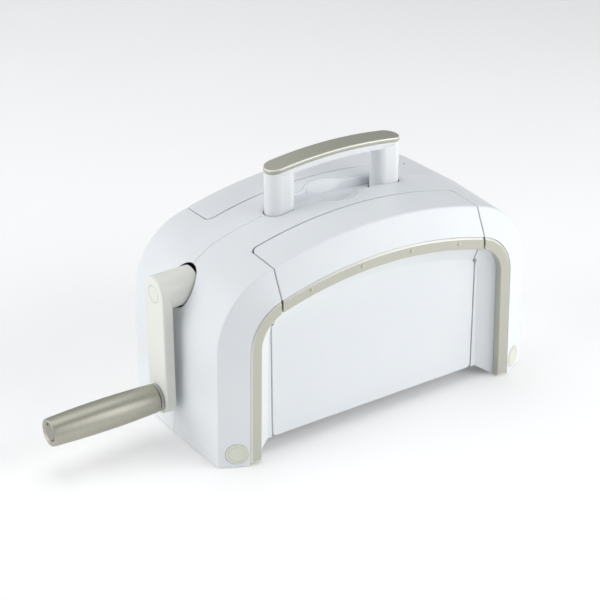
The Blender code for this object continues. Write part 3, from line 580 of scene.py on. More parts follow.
def height_at(x, inset):
    """Height of the curve that runs at an inset from the crease, at a place along X."""
    if abs(x) < (ARCH_RADIUS - inset) * math.cos(JOIN_ANGLE):
        return arch_z(x, ARCH_RADIUS - inset)
    return SHOULDER.y + math.sqrt((SHOULDER_RADIUS - inset) ** 2 - (abs(x) - SHOULDER.x) ** 2)


def round_the_arch(section, side, path):
    """Rings of a section (inset from the crease, depth from the seam) along a path."""
    return [[((point - out * inset).x, side * depth, (point - out * inset).y)
             for inset, depth in section] for point, out in path]


def case_corners(edge_y, flange_inset):
    """Corners of the moulding's wall: edge, crease, chamfer, rebate, brow and opening."""
    bow = SEAM_BOW * (1 - edge_y / CREASE_Y)
    seat = TRIM_OUTER - CLEARANCE
    seat_y = TRIM_BACK_Y - CLEARANCE
    seat_end = TRIM_OUTER + TRIM_WIDTH
    return [
        (-bow, edge_y, 0.35), (0, CREASE_Y, CREASE_ROUND), (seat, TRIM_FACE_Y - 0.5, 0.5),
        (seat, seat_y, 0), (seat_end, seat_y, 1.0), (BEVEL_INNER, PANEL_Y, 2.2),
        (flange_inset, PANEL_Y, 0.5), (flange_inset, PANEL_Y - WALL, 0),
        (BEVEL_INNER - 1.4, PANEL_Y - WALL, 0), (seat_end - 1.4, seat_y - WALL, 0),
        (seat - WALL - 0.7, seat_y - WALL, 0), (WALL + 0.2, CREASE_Y - 2.4, 1.0),
        (WALL - bow, edge_y, 0)]


def prism(outline, axis, low, high):
    return slab(lambda inset: outline, axis, [(low, 0), (high, 0)])


def chamfer_place(side, hand):
    """Centre and outward direction of a plug on the chamfer at the foot of a leg."""
    across = Vector((CLEARANCE - TRIM_OUTER, TRIM_FACE_Y - 0.5 - CREASE_Y))
    place = across * PLUG_ALONG_CHAMFER
    centre = (hand * (FOOT_HALF_WIDTH + place.x), side * (CREASE_Y + place.y), PLUG_Z)
    return centre, Vector((hand * across.y, side * -across.x, 0)).normalized()


def drilled(radius, centre, low, high, axis=(1, 0, 0)):
    """A round cutter along an axis through a point."""
    return turned([(low, 0), (low, radius), (high, radius), (high, 0)], centre, axis)


def edge_wedge(side, hand):
    """Cutter that eases the opening's edge beside the flap's cap."""
    rings = []
    for x, lower in ((CAP_OPENING_HALF_WIDTH - EDGE_EASE, EDGE_CHAMFER + EDGE_EASE),
                     (CAP_OPENING_HALF_WIDTH + EDGE_CHAMFER + EDGE_EASE, -EDGE_EASE)):
        ring = [(hand * x, side * (depth + (0.4 - lower) * 0.4),
                 arch_z(x, ARCH_RADIUS - drop - lower))
                for depth, drop in ((BRIDGE_HALF_DEPTH + 3.0, SEAM_BOW * -0.48), (CREASE_Y, 0),
                                    (TRIM_FACE_Y - 0.5, TRIM_OUTER - CLEARANCE))]
        rings.append(ring + [(a, b + side * 8, c + 10) for a, b, c in ring[::-1]])
    return loft(rings)


def well_outline(grow_by=0.0):
    """Plan of the handle's trough and finger scoop, with soft corners where they meet."""
    junction = math.degrees(math.asin(WELL_HALF_WIDTH / SCOOP_RADIUS))
    reach = WELL_HALF_LENGTH - WELL_HALF_WIDTH
    meet_x = SCOOP_RADIUS * math.cos(math.radians(junction))
    half = []
    for step in range(12):
        angle = math.radians(90 * step / 12)
        half.append((reach + WELL_HALF_WIDTH * math.cos(angle),
                     WELL_HALF_WIDTH * math.sin(angle)))
    for step in range(12):
        half.append((reach + (meet_x - reach) * step / 12, WELL_HALF_WIDTH))
    for step in range(41):
        angle = math.radians(junction + (180 - 2 * junction) * step / 40)
        half.append((SCOOP_RADIUS * math.cos(angle), SCOOP_RADIUS * math.sin(angle)))
    half += [(-x, y) for x, y in half[23::-1]]
    full = half + [(x, -y) for x, y in half[-2:0:-1]]
    for _ in range(6):
        full = [((full[k - 1][0] + 2 * x + full[(k + 1) % len(full)][0]) / 4,
                 (full[k - 1][1] + 2 * y + full[(k + 1) % len(full)][1]) / 4)
                if abs(abs(x) - meet_x) < 7 else (x, y) for k, (x, y) in enumerate(full)]
    moved = []
    for k, (x, y) in enumerate(full):
        back, ahead = full[k - 1], full[(k + 1) % len(full)]
        across = Vector((ahead[1] - back[1], back[0] - ahead[0])).normalized()
        moved.append((x + across.x * grow_by, y + across.y * grow_by))
    return moved


WELL_HALF_LENGTH = 74.0
WELL_HALF_WIDTH = 11.6
SCOOP_RADIUS = 24.6
WELL_RIM = 3.4

# A stop rib behind each upright edge of the flap keeps light out of the case.
STOP_RIB = ((112.7, 66.5), (118.5, 66.5), (118.5, 70.2), (115.9, 70.2), (115.9, 69.1),
            (112.7, 69.1))
STOP_RIB_HEIGHTS = (52.0, 135.0)

path = crease_path()
trim_inner_x = FOOT_HALF_WIDTH - TRIM_OUTER - TRIM_WIDTH
for word, side in SIDES:
    section = soften(case_corners(SEAM_GAP / 2, BEVEL_INNER + 6.3))
    shell = loft(round_the_arch(section, side, path))
    edge, reach = side * BRIDGE_HALF_DEPTH, side * (TRIM_FACE_Y + 12)
    wide, narrow = OPENING_HALF_WIDTH, CAP_OPENING_HALF_WIDTH
    below = [(-wide, edge), (wide, edge), (wide, reach), (-wide, reach)]
    cap_hole = soften([(-narrow, edge, CAP_CORNER), (narrow, edge, CAP_CORNER),
                       (narrow, reach, 0), (-narrow, reach, 0)], 8)
    combine(shell, "DIFFERENCE", [
        prism(below, "Z", -5, OPENING_STEP_Z),
        prism(cap_hole, "Z", OPENING_STEP_Z - 0.01, CASE_TOP_Z)])
    for hand in (-1, 1):
        slope = [(hand * x, z) for x, z in (
            (110, -5), (trim_inner_x + 2, -5), (trim_inner_x - 0.3, CASE_BOTTOM_Z),
            (FOOT_HALF_WIDTH - BEVEL_INNER, PANEL_BOTTOM_Z), (110, PANEL_BOTTOM_Z))]
        centre, out = chamfer_place(side, hand)
        combine(shell, "DIFFERENCE", [
            prism(slope, "Y", *sorted((side * 66.0, side * (TRIM_BACK_Y - 0.5)))),
            drilled(PLUG_RADIUS + CLEARANCE, centre, -2.0, 6.0, out),
            edge_wedge(side, hand)])
    combine(shell, "DIFFERENCE", [
        drilled(HUB_HOLE_RADIUS, (0, 0, CRANK_Z), CASE_END_X, -130.0),
        prism(well_outline(WELL_RIM), "Z", 180, CASE_TOP_Z)])
    for hand in (-1, 1):
        rib = [(hand * x, side * y) for x, y in STOP_RIB]
        combine(shell, "UNION", [prism(rib, "Z", *STOP_RIB_HEIGHTS)])
    fit(piece(shell, word + "_case_half", case_plastic), "machine_body", "case_white",
        word + "_casing")

# ---------------------------------------------------------------- plugs
# Round warm-white plugs pressed over the four case screws, at the foot of each leg. Each is
# turned flat with a soft edge and a fine ring groove near its rim, and stands a hair proud.
PLUG_BACK = -1.7
PLUG_FACE = 0.4
WARM_WHITE = (0.80, 0.81, 0.755)
WARM_WHITE_DEEP = (0.77, 0.78, 0.725)
plug_plastic = moulded_plastic("warm_plug_plastic", (0.69, 0.705, 0.605), (0.735, 0.75, 0.65),
                               (0.34, 0.44))
plug_profile = soften([
    (PLUG_BACK, 0, 0), (PLUG_BACK, PLUG_RADIUS, 0.2), (PLUG_FACE, PLUG_RADIUS, 0.5),
    (PLUG_FACE, 8.1, 0.12), (0.0, 7.75, 0), (PLUG_FACE, 7.4, 0.12), (PLUG_FACE, 0, 0)], 2)
for corner, side, hand in CORNERS:
    plug = turned(plug_profile, *chamfer_place(side, hand))
    fit(piece(plug, corner + "_screw_plug", plug_plastic), "machine_body", "warm_white",
        corner + "_plug")

# ---------------------------------------------------------------- leg trims
# Satin champagne bands up the outer face of each leg and round its shoulder. They are
# moulded, vacuum plated and finely brushed, and their outer-edge bevel is painted a lighter tone
# as a highlight.
TRIM_GAP_X = 112.5
TRIM_GAP = 2.0
TRIM_END_ROUND = 0.5
TRIM_FOOT_ROUND = 4.0
CHAMPAGNE = (0.535, 0.535, 0.46)
CHAMPAGNE_DEEP = (0.505, 0.505, 0.43)


def brushed_champagne(name, stretch, tones=(CHAMPAGNE_DEEP, CHAMPAGNE), metal=0.6):
    """Plated plastic with short fine brush lines along one axis."""
    return finish_of(name, tones, (0.32, 0.44), (1500.0, stretch, 4.0),
                     relief=(0.00001, 0.25), metal=metal)


def paint_edge_highlight(item, chosen):
    """Paint a highlight on the faces of a piece that a test picks (centre, normal, in mm): they
    get the lighter second material.
    """
    item.data.materials.append(painted_edge_highlight)
    for face in item.data.polygons:
        centre = (face.center - Vector((MID_X, 0, 0))) / MM
        if chosen(centre, face.normal):
            face.material_index = 1


def on_outer_bevel(centre, normal):
    away = Vector((centre.x, 0, centre.z - SHOULDER.y + 30)).normalized()
    return abs(centre.y) > TRIM_FACE_Y - 1.45 and 0.2 < normal.dot(away) < 0.93


def drawn_in(corners, amount):
    """A section's outline, drawn in by an amount all round and then softened."""
    count = len(corners)
    area = sum(corners[k - 1][0] * corners[k][1] - corners[k][0] * corners[k - 1][1]
               for k in range(count))
    inward = math.copysign(1.0, area)
    drawn = []
    for k, (a, b, radius) in enumerate(corners):
        here = Vector((a, b))
        back = (here - Vector(corners[k - 1][:2])).normalized()
        ahead = (Vector(corners[(k + 1) % count][:2]) - here).normalized()
        middle = (back + ahead).normalized()
        place = here + Vector((-middle.y, middle.x)) * inward * amount / middle.dot(ahead)
        bend = back.cross(ahead) * inward
        if radius:
            radius = max(0.02, radius - math.copysign(amount, bend))
        drawn.append((place.x, place.y, radius))
    return soften(drawn)


def rings_across(corners_at, side, places):
    """Rings of a section across the arch at places along X, each (place, drawn-in)."""
    return [[(x, side * depth, height_at(x, inset))
             for inset, depth in drawn_in(corners_at(x), amount)] for x, amount in places]


def trim_corners(x=0.0):
    outer, inner = TRIM_OUTER, TRIM_OUTER + TRIM_WIDTH
    return [(outer, TRIM_BACK_Y, 0), (outer, TRIM_FACE_Y - 1.5, 0.3),
            (outer + 1.6, TRIM_FACE_Y, 0.5), (inner, TRIM_FACE_Y, 1.0),
            (inner, TRIM_BACK_Y, 0)]


def leg_band(side, hand):
    """Rings up a leg, round its shoulder and on to a flat end beside the flap's band."""
    section = soften(trim_corners())
    rings = []
    low_path = leg_path((0.3, 0.9, 1.8, 2.9, TRIM_FOOT_ROUND, 7.0, 12.0, 40.0, 80.0))
    for point, out in low_path + turn_path(SHOULDER, SHOULDER_RADIUS, LEG_LEAN,
                                           math.radians(60), 22):
        rise = min(TRIM_FOOT_ROUND, point.y - CASE_BOTTOM_Z)
        back_off = TRIM_FOOT_ROUND - math.sqrt(TRIM_FOOT_ROUND ** 2
                                               - (TRIM_FOOT_ROUND - rise) ** 2)
        thin = 1 - back_off / (TRIM_FACE_Y - TRIM_BACK_Y)
        rings.append([((point - out * inset).x,
                       side * (TRIM_BACK_Y + (depth - TRIM_BACK_Y) * thin),
                       (point - out * inset).y) for inset, depth in section])
    end = TRIM_GAP_X + TRIM_GAP / 2
    last = rings[-1]
    shares = [(step / 8, 0.0) for step in range(1, 8)]
    shares += [(1 - TRIM_END_ROUND * (1 - math.cos(angle)) / (last[0][0] - end),
                TRIM_END_ROUND * (1 - math.sin(angle)))
               for angle in (math.pi / 2, math.pi / 4, 0)]
    for share, amount in shares:
        ring = []
        for (x, _, _), (inset, depth) in zip(last, drawn_in(trim_corners(), amount)):
            place = x + (end - x) * share
            ring.append((place, side * depth, height_at(place, inset)))
        rings.append(ring)
    return [[(hand * x, y, z) for x, y, z in ring] for ring in rings]


upright_champagne = brushed_champagne("champagne_brushed_upright", (1, 1, 0.05))
# A lighter, less metallic champagne, used as a painted highlight on the trims' bevel faces.
painted_edge_highlight = brushed_champagne("champagne_painted_edge_highlight", (1, 1, 1),
                                ((0.74, 0.74, 0.68), (0.78, 0.78, 0.72)), 0.3)
for corner, side, hand in CORNERS:
    band = piece(loft(leg_band(side, hand)), corner + "_leg_band", upright_champagne)
    # Paints a highlight on the outer bevel faces in a lighter champagne.
    paint_edge_highlight(band, on_outer_bevel)
    fit(band, "machine_body", "champagne_trim", corner + "_leg_trim")

# ---------------------------------------------------------------- handle well
# A white moulded trough let into the top of the arch, where the folded handle lies, with a
# round finger scoop in its middle. Its lip is rounded and finishes flush with the case.
WELL_FLOOR_RADIUS = 398.8
SCOOP_SPHERE_RADIUS = 38.2
SCOOP_SPHERE_Z = 234.9
WELL_WALL = 1.6
WELL_LIP = 1.2
SCOOP_BLEND = 2.5
POST_X = 58.7
POST_HALF_LENGTH = 14.6
POST_HALF_WIDTH = 10.8
POST_GAP = 1.1


def stadium(half_length, half_width, centre=(0.0, 0.0), steps=24):
    """An outline with two straight sides and half-round ends."""
    reach = half_length - half_width
    return [(centre[0] + end * reach + half_width * math.cos(angle),
             centre[1] + half_width * math.sin(angle))
            for end, start in ((1, -math.pi / 2), (-1, math.pi / 2))
            for angle in [start + math.pi * step / steps for step in range(steps + 1)]]


def scoop_z(x, y):
    """The scoop's ball, blended softly into the top of the case."""
    square = SCOOP_SPHERE_RADIUS ** 2 - x ** 2 - y ** 2
    ball = SCOOP_SPHERE_Z - math.sqrt(max(square, 0.0))
    top = skin_z(x, y)
    blend = max(0.0, 1 - abs(top - ball) / 1.6)
    return min(top, ball) - blend ** 2 * 0.4


def well_rings():
    """Rings midway through the wall: the flush rim, the lip, the sides and the floor."""
    half = WELL_WALL / 2
    wide = WELL_HALF_WIDTH + half
    edge = well_outline(half)

    def scooped(y):
        return max(0.0, min(1.0, (abs(y) - wide) / SCOOP_BLEND))

    rings = []
    for move, drop in ((WELL_RIM - half, 2.6), (WELL_RIM - half, 0.0), (2.1, 0.0),
                       (1.42, 0.16), (1.0, 0.55), (half, WELL_LIP)):
        ring = []
        for (x, y), (_, base_y) in zip(well_outline(move), edge):
            height = skin_z(x, y) - drop
            if drop < 2:
                share = scooped(base_y)
                height = height * (1 - share) + scoop_z(x, y) * share
            ring.append((x, y, height - half))
        rings.append(ring)
    lip = rings[-1]
    for share in (0.14, 0.28, 0.42, 0.56, 0.7, 0.84, 1.0):
        ring = []
        for (x, y), (_, _, top) in zip(edge, lip):
            place = y + (max(-wide, min(wide, y)) - y) * share
            wall = top + (floor_z(x) - half + WELL_LIP - top) * share
            ring.append((x, place, wall * (1 - scooped(y))
                         + (scoop_z(x, place) - half) * scooped(y)))
        rings.append(ring)
    for draw_in, above in ((0.1, 0.7), (0.35, 0.3), (1.1, 0.0)):
        ring = []
        for x, y, _ in rings[-1]:
            flat_y = math.copysign(max(0.0, min(abs(y), wide) - draw_in), y)
            flat_x = math.copysign(min(abs(x), WELL_HALF_LENGTH + half - draw_in), x)
            ring.append((flat_x, flat_y, floor_z(flat_x) - half + above))
        rings.append(ring)
    return rings


def floor_z(x):
    return arch_z(x, WELL_FLOOR_RADIUS)


def ladder(bm, row):
    """Close a ring that is its own mirror image across Y with straight rungs."""
    count = len(row)
    for k in range(count // 2):
        corners = [row[k], row[k + 1], row[-k - 1], row[-k]]
        bm.faces.new(list(dict.fromkeys(corners)))


def skinned(rings, close_first=True):
    """Rings joined into a skin, with rungs across its last ring and maybe its first."""
    bm = bmesh.new()
    rows = join_rows(bm, rings)
    ladder(bm, rows[-1])
    if close_first:
        ladder(bm, rows[0])
    return blank(bm)


well = skinned(well_rings(), close_first=False)
wall = well.modifiers.new("wall", "SOLIDIFY")
wall.thickness = WELL_WALL * MM
wall.offset = 0.0
bake_modifiers(well)
post_holes = [prism(stadium(POST_HALF_LENGTH + POST_GAP, POST_HALF_WIDTH + 0.4,
                            (hand * POST_X, 0)), "Z", 170, CASE_TOP_Z) for hand in (-1, 1)]
combine(well, "DIFFERENCE", post_holes)
fit(piece(well, "finger_trough", case_plastic, 40.0), "machine_body", "case_white",
    "handle_well")
shade_nodes(nylon, "left_post_guide", "right_post_guide")

# ---------------------------------------------------------------- carry handle
# One glossy white moulding: a bar that follows the arch, with a ledge along its side, on
# two oval posts that slide down through the well. Flanges at their feet stop them at the top.
BAR_UNDER_RADIUS = 441.5
BAR_TOP_RADIUS = 448.0
BAR_HALF_LENGTH = POST_X + POST_HALF_LENGTH
POST_BOTTOM_Z = node_box("carry_handle")[0].z
POST_TOP_Z = 239.0


def arched_block(half_length, half_width, levels):
    """A stadium in plan between arcs concentric with the case; levels are (radius, inset)."""
    return skinned([[(x, y, arch_z(x, radius))
                     for x, y in stadium_ring(half_length - inset, half_width - inset)]
                    for radius, inset in levels])


def stadium_ring(half_length, half_width, end_steps=14, side_steps=30):
    """A stadium that starts at its right tip, with points to match above and below."""
    reach = half_length - half_width
    upper = []
    for step in range(end_steps):
        angle = math.pi / 2 * step / end_steps
        upper.append((reach + half_width * math.cos(angle), half_width * math.sin(angle)))
    upper += [(reach * (1 - 2 * step / side_steps), half_width)
              for step in range(side_steps + 1)]
    upper += [(-x, y) for x, y in upper[end_steps - 1::-1]]
    return upper + [(x, -y) for x, y in upper[-2:0:-1]]


gloss_plastic = moulded_plastic("glossy_handle_plastic", (0.80, 0.82, 0.835),
                                (0.83, 0.85, 0.865), (0.16, 0.22), 1200.0, 0.000005)
handle = arched_block(BAR_HALF_LENGTH, POST_HALF_WIDTH, [
    (BAR_UNDER_RADIUS, 2.0), (BAR_UNDER_RADIUS + 0.3, 1.2), (BAR_UNDER_RADIUS + 1.0, 0.8),
    (BAR_TOP_RADIUS - 2.4, 0.7), (BAR_TOP_RADIUS - 2.2, 0.0), (BAR_TOP_RADIUS - 0.3, 0.0),
    (BAR_TOP_RADIUS, 0.3)])
for hand in (-1, 1):
    def post_outline(inset):
        return stadium(POST_HALF_LENGTH - 0.1 - inset, POST_HALF_WIDTH - 0.1 - inset,
                       (hand * POST_X, 0))

    post = slab(post_outline, "Z", [(POST_BOTTOM_Z, -1.1), (POST_BOTTOM_Z + 0.4, -1.5),
                                    (POST_BOTTOM_Z + 3.0, -1.5), (POST_BOTTOM_Z + 3.0, 0),
                                    (POST_TOP_Z, 0)])
    combine(handle, "UNION", [post])
fit(piece(handle, "folding_handle_bar", gloss_plastic), "carry_handle", "case_white",
    "carry_handle")

# ---------------------------------------------------------------- handle top cover
# A champagne cover clipped along the top of the bar. Its flat top is brushed lengthwise and
# its rim bevel is painted a lighter tone as a highlight, with a shadow gap to the bar below.
COVER_TOP_RADIUS = 452.4
lengthwise_champagne = brushed_champagne("champagne_brushed_lengthwise", (0.05, 1, 1))
cover_champagne = brushed_champagne("champagne_cover_top", (0.05, 1, 1),
                                    ((0.42, 0.42, 0.35), (0.455, 0.455, 0.38)), 0.35)
cover = arched_block(BAR_HALF_LENGTH + 0.3, POST_HALF_WIDTH + 0.6, [
    (BAR_TOP_RADIUS + 0.3, 1.4), (BAR_TOP_RADIUS + 0.5, 0.4), (BAR_TOP_RADIUS + 0.9, 0.0),
    (COVER_TOP_RADIUS - 1.3, 0.0), (COVER_TOP_RADIUS - 0.6, 0.25),
    (COVER_TOP_RADIUS - 0.15, 0.8), (COVER_TOP_RADIUS, 1.6)])
cover = piece(cover, "champagne_handle_cover", cover_champagne)
# Paints a highlight on the sloping rim faces in a lighter champagne.
paint_edge_highlight(cover, lambda centre, normal: 0.05 < normal.z < 0.93)
fit(cover, "carry_handle", "champagne_trim", "handle_top_cover")

# ---------------------------------------------------------------- flap mouldings
# Front and rear flaps fold down into work platforms. Each is one white moulding: a cap that
# wraps over the arch, a sloped brow below the trim band, a flat panel and two side walls.
CAP_HALF_WIDTH = 112.3
CAP_EDGE_Y = 37.2
CAP_END_ROUND = 0.7
CAP_CORNER_ROUND = 6.0
PANEL_HALF_WIDTH = 114.3
PANEL_CORNER = 4.5
PANEL_TOP_INSET = 56.2
BROW_LIP = 58.5
FLAP_SIDE_OUTER_X = 112.1
FLAP_SIDE_WALL = 3.0
PLATE_THICKNESS = 2.2
HINGE_Y = 60.7
HINGE_Z = 29.0
HINGE_PIN_RADIUS = 3.0


def flap_corners(x):
    """Section of the cap at a place along X; its rear edge turns in at the ends."""
    past = max(0.0, abs(x) - (CAP_HALF_WIDTH - CAP_CORNER_ROUND))
    edge = CAP_EDGE_Y + CAP_CORNER_ROUND
    edge -= math.sqrt(max(0.0, CAP_CORNER_ROUND ** 2 - past ** 2))
    return case_corners(edge, BROW_LIP)


def cap_places():
    """Stations along X, close together where the corners turn and the ends are eased."""
    half = eased(-CAP_HALF_WIDTH, CAP_HALF_WIDTH, CAP_END_ROUND)[:3:-1]
    corner = CAP_HALF_WIDTH - CAP_CORNER_ROUND
    half += [(corner + CAP_CORNER_ROUND * math.cos(math.radians(angle)), 0.0)
             for angle in (35, 45, 55, 65, 75, 90)]
    half += [(corner - step * corner / 20, 0.0) for step in range(1, 21)]
    return half + [(-x, amount) for x, amount in half[-2::-1]]


def square_foot(half, low, corner, steps, count):
    """The first points of an upright outline: a straight foot with two rounded corners."""
    return soften([(-half, low, corner), (half, low, corner), (half, low + 40, 0),
                   (-half, low + 40, 0)], steps)[:count]


def panel_outline(inset):
    half = PANEL_HALF_WIDTH - inset
    foot = square_foot(half, PANEL_BOTTOM_Z + inset, PANEL_CORNER - inset, 6, 14)
    return foot + arch_points(half, ARCH_RADIUS - PANEL_TOP_INSET - inset)


def flap_side_outline(side):
    """End wall of a flap in (Y, Z), just inside its skin."""
    inside = WALL / 2
    edge_x = FLAP_SIDE_OUTER_X - FLAP_SIDE_WALL / 2
    rear = CAP_EDGE_Y + PLATE_THICKNESS + CLEARANCE
    face, seat = PANEL_Y - inside, TRIM_BACK_Y - CLEARANCE - inside
    profile = [
        (rear, PANEL_BOTTOM_Z + 2), (face, PANEL_BOTTOM_Z + 2),
        (face, height_at(edge_x, BEVEL_INNER - 1)),
        (seat, height_at(edge_x, TRIM_OUTER + TRIM_WIDTH - 1)),
        (seat, height_at(edge_x, TRIM_OUTER - 1.5)),
        (TRIM_FACE_Y - 2.5, height_at(edge_x, TRIM_OUTER - 2)),
        (CREASE_Y - 1.2, height_at(edge_x, inside)), (rear + 4, height_at(edge_x, 0.5)),
        (rear, height_at(edge_x, 1.5))]
    return [(side * depth, z) for depth, z in profile]


for word, side in SIDES:
    flap = loft(rings_across(flap_corners, side, cap_places()))
    panel = slab(panel_outline, "Y", [(side * place, inset) for place, inset
                                      in eased(PANEL_Y - WALL, PANEL_Y, 0.7)])
    walls = [prism(flap_side_outline(side), "X", hand * (FLAP_SIDE_OUTER_X - FLAP_SIDE_WALL),
                   hand * FLAP_SIDE_OUTER_X) for hand in (-1, 1)]
    combine(flap, "UNION", [panel] + walls)
    combine(flap, "DIFFERENCE", [drilled(HINGE_PIN_RADIUS + CLEARANCE,
                                         (0, side * HINGE_Y, HINGE_Z), -125, 125)])
    fit(piece(flap, word + "_folding_flap", case_plastic), word + "_platform", "case_white",
        word + "_flap_shell")

# ---------------------------------------------------------------- platform plates
# The inner side of each flap is a flat white plate snapped into its moulding. It is the
# work table when the flap is down, so its face is set a little below a raised border.
TABLE_BORDER = 6.0
TABLE_DEPTH = 0.4
TABLE_CORNER = 8.0


def table_outline(inset):
    half = CAP_HALF_WIDTH - 0.2 - inset
    points = square_foot(half, PANEL_BOTTOM_Z + 0.8 + inset, 3.0, 5, 12)
    for step in range(61):
        x = half * math.cos(math.pi * step / 60)
        past = max(0.0, abs(x) - (half - TABLE_CORNER)) / TABLE_CORNER
        drop = TABLE_CORNER * (1 - math.sqrt(max(0.0, 1 - past ** 2)))
        points.append((x, arch_z(x, ARCH_RADIUS - 2.3 - inset) - drop))
    return points


table_plastic = moulded_plastic("white_table_plastic", (0.76, 0.79, 0.81),
                                (0.79, 0.815, 0.835), (0.30, 0.40), 800.0, 0.00004)
for word, side in SIDES:
    levels = [(CAP_EDGE_Y + TABLE_DEPTH, TABLE_BORDER + 0.5), (CAP_EDGE_Y, TABLE_BORDER)]
    levels += eased(CAP_EDGE_Y, CAP_EDGE_Y + PLATE_THICKNESS, 0.6)
    table = slab(table_outline, "Y", [(side * place, inset) for place, inset in levels])
    fit(piece(table, word + "_table_plate", table_plastic), word + "_platform", "case_white",
        word + "_platform_plate")

# ---------------------------------------------------------------- arch trims and nubs
# A champagne band runs across each flap between the leg bands, with a dark gap at each end.
# Four small domed nubs along it are the feet that an open platform stands on.
NUB_RADIUS = 1.95
NUB_HEIGHT = 0.9
NUB_SPACING = 54.7
NUB_COUNT = 4

end = TRIM_GAP_X - TRIM_GAP / 2
places = eased(-end, end, TRIM_END_ROUND, steps=2)[:2:-1]
places += [(end * (1 - step / 24), 0.0) for step in range(1, 25)]
places += [(-x, amount) for x, amount in places[-2::-1]]
for word, side in SIDES:
    band = loft(rings_across(trim_corners, side, places))
    band = piece(band, word + "_arch_band", lengthwise_champagne)
    # Paints a highlight on the outer bevel faces in a lighter champagne.
    paint_edge_highlight(band, on_outer_bevel)
    fit(band, word + "_platform", "champagne_trim", word + "_arch_trim")
    nubs = grow_studs(word + "_band_nubs", lengthwise_champagne, NUB_COUNT, NUB_SPACING,
                      (0, side * TRIM_FACE_Y, ARCH_CENTRE_Z),
                      (NUB_RADIUS, NUB_HEIGHT, NUB_RADIUS),
                      ARCH_RADIUS - TRIM_OUTER - TRIM_WIDTH / 2)
    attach(nubs, word + "_platform")

# ---------------------------------------------------------------- hinge pins
# Headed steel pins, one at each lower corner of a flap, driven from inside the flap's side
# wall out into the side plate. The flap swings on them.
PIN_HEAD_RADIUS = 5.0
PIN_HEAD_LENGTH = 2.7
PIN_END_X = 122.0
head_end = FLAP_SIDE_OUTER_X - FLAP_SIDE_WALL - 0.3
head_start = head_end - PIN_HEAD_LENGTH
pin_profile = soften([(head_start, 0, 0), (head_start, PIN_HEAD_RADIUS, 0.8),
                      (head_end, PIN_HEAD_RADIUS, 0.3), (head_end, HINGE_PIN_RADIUS, 0),
                      (PIN_END_X, HINGE_PIN_RADIUS, 0.5), (PIN_END_X, 0, 0)], 3)
for corner, side, hand in CORNERS:
    pin = turned([(hand * x, radius) for x, radius in pin_profile],
                 (0, side * HINGE_Y, HINGE_Z), segments=32)
    fit(piece(pin, corner + "_headed_pin", rod_steel), "machine_body", "frame_steel",
        corner + "_hinge_pin")

# ---------------------------------------------------------------- crank arm
# Hub and arm moulded in one piece of warm white plastic, fixed on the steel crank shaft. The
# arm's long edges are well rounded and a round cap closes the screw hole over the hub.
HUB_RADIUS = 17.0
HUB_END_X = -154.0
ARM_OUTER_X = -193.1
ARM_INNER_X = -183.2
GRIP_Z = 44.9
ARM_LOW_RADIUS = 16.5
CAP_RECESS_RADIUS = 8.5
ARM_CAP_RADIUS = 8.15
HUB_FLARE = 2.0
SHAFT_BORE = 6.3
SPINDLE_BORE = 4.3


def arm_ring(x, top_radius, low_z, low_radius, flare=0.0):
    """A ring at X: a half circle over the hub, and one at low_z or under the hub itself."""
    points = []
    for start, z, radius, more in ((0.0, CRANK_Z, top_radius, 0.0),
                                   (math.pi, low_z, low_radius, flare)):
        for step in range(37):
            angle = start + math.pi * step / 36
            wide = radius + more * abs(math.sin(angle))
            points.append((x, wide * math.cos(angle), z + wide * math.sin(angle)))
    return points


warm_plastic = moulded_plastic("warm_white_crank_plastic", WARM_WHITE_DEEP, WARM_WHITE,
                               (0.34, 0.44))
rings = []
for x, inset in eased(ARM_OUTER_X, ARM_INNER_X, 1.9, 0.7, 5):
    top_inset = inset if x < ARM_OUTER_X + 3 else 0.0
    rings.append(arm_ring(x, HUB_RADIUS - top_inset, GRIP_Z, ARM_LOW_RADIUS - inset))
for step in range(5):
    angle = math.pi / 2 * step / 4
    rings.append(arm_ring(ARM_INNER_X + HUB_FLARE * (1 - math.cos(angle)), HUB_RADIUS,
                          CRANK_Z, HUB_RADIUS, HUB_FLARE * (1 - math.sin(angle))))
for x, inset in eased(ARM_INNER_X, HUB_END_X, 0.6)[4:]:
    rings.append(arm_ring(x, HUB_RADIUS - inset, CRANK_Z, HUB_RADIUS - inset))
arm = loft(rings)
combine(arm, "DIFFERENCE", [
    drilled(SHAFT_BORE, (0, 0, CRANK_Z), -178, -100),
    drilled(CAP_RECESS_RADIUS, (0, 0, CRANK_Z), ARM_OUTER_X - 5, ARM_OUTER_X + 1.6),
    drilled(SPINDLE_BORE, (0, 0, GRIP_Z), CASE_END_X, -170)])
fit(piece(arm, "moulded_crank_arm", warm_plastic), "crank", "warm_white", "crank_arm")

arm_cap = turned(soften([(ARM_OUTER_X + 1.3, 0, 0), (ARM_OUTER_X + 1.3, ARM_CAP_RADIUS, 0.1),
                         (ARM_OUTER_X - 0.2, ARM_CAP_RADIUS, 0.5),
                         (ARM_OUTER_X + 0.1, 5.6, 2.0), (ARM_OUTER_X + 0.1, 0, 0)]),
                 (0, 0, CRANK_Z))
fit(piece(arm_cap, "round_arm_cap", warm_plastic), "crank", "warm_white", "crank_arm_cap")
shade_nodes(rod_steel, "crank_shaft", "grip_spindle")

# ---------------------------------------------------------------- grip
# A swelling barrel of satin nickel-plated metal, turned and free to spin on its spindle. A
# grey spacer ring sits at its root, and a matt disc with two notches is set into its end.
GRIP_ROOT_X = -196.5
GRIP_END_X = -305.0
GRIP_RADIUS = 14.8
GRIP_ROOT_RADIUS = 13.3
GRIP_END_RADIUS = 13.0
RIM_RADIUS = 11.4
COUNTERBORE_RADIUS = 8.5
DISC_RADIUS = 8.1
nickel = finish_of("satin_nickel", ((0.41, 0.40, 0.34), (0.45, 0.44, 0.375)), (0.36, 0.46),
                   (700.0, (1.5, 0.05, 0.05), 4.0), relief=(0.00001, 0.2), metal=0.85)


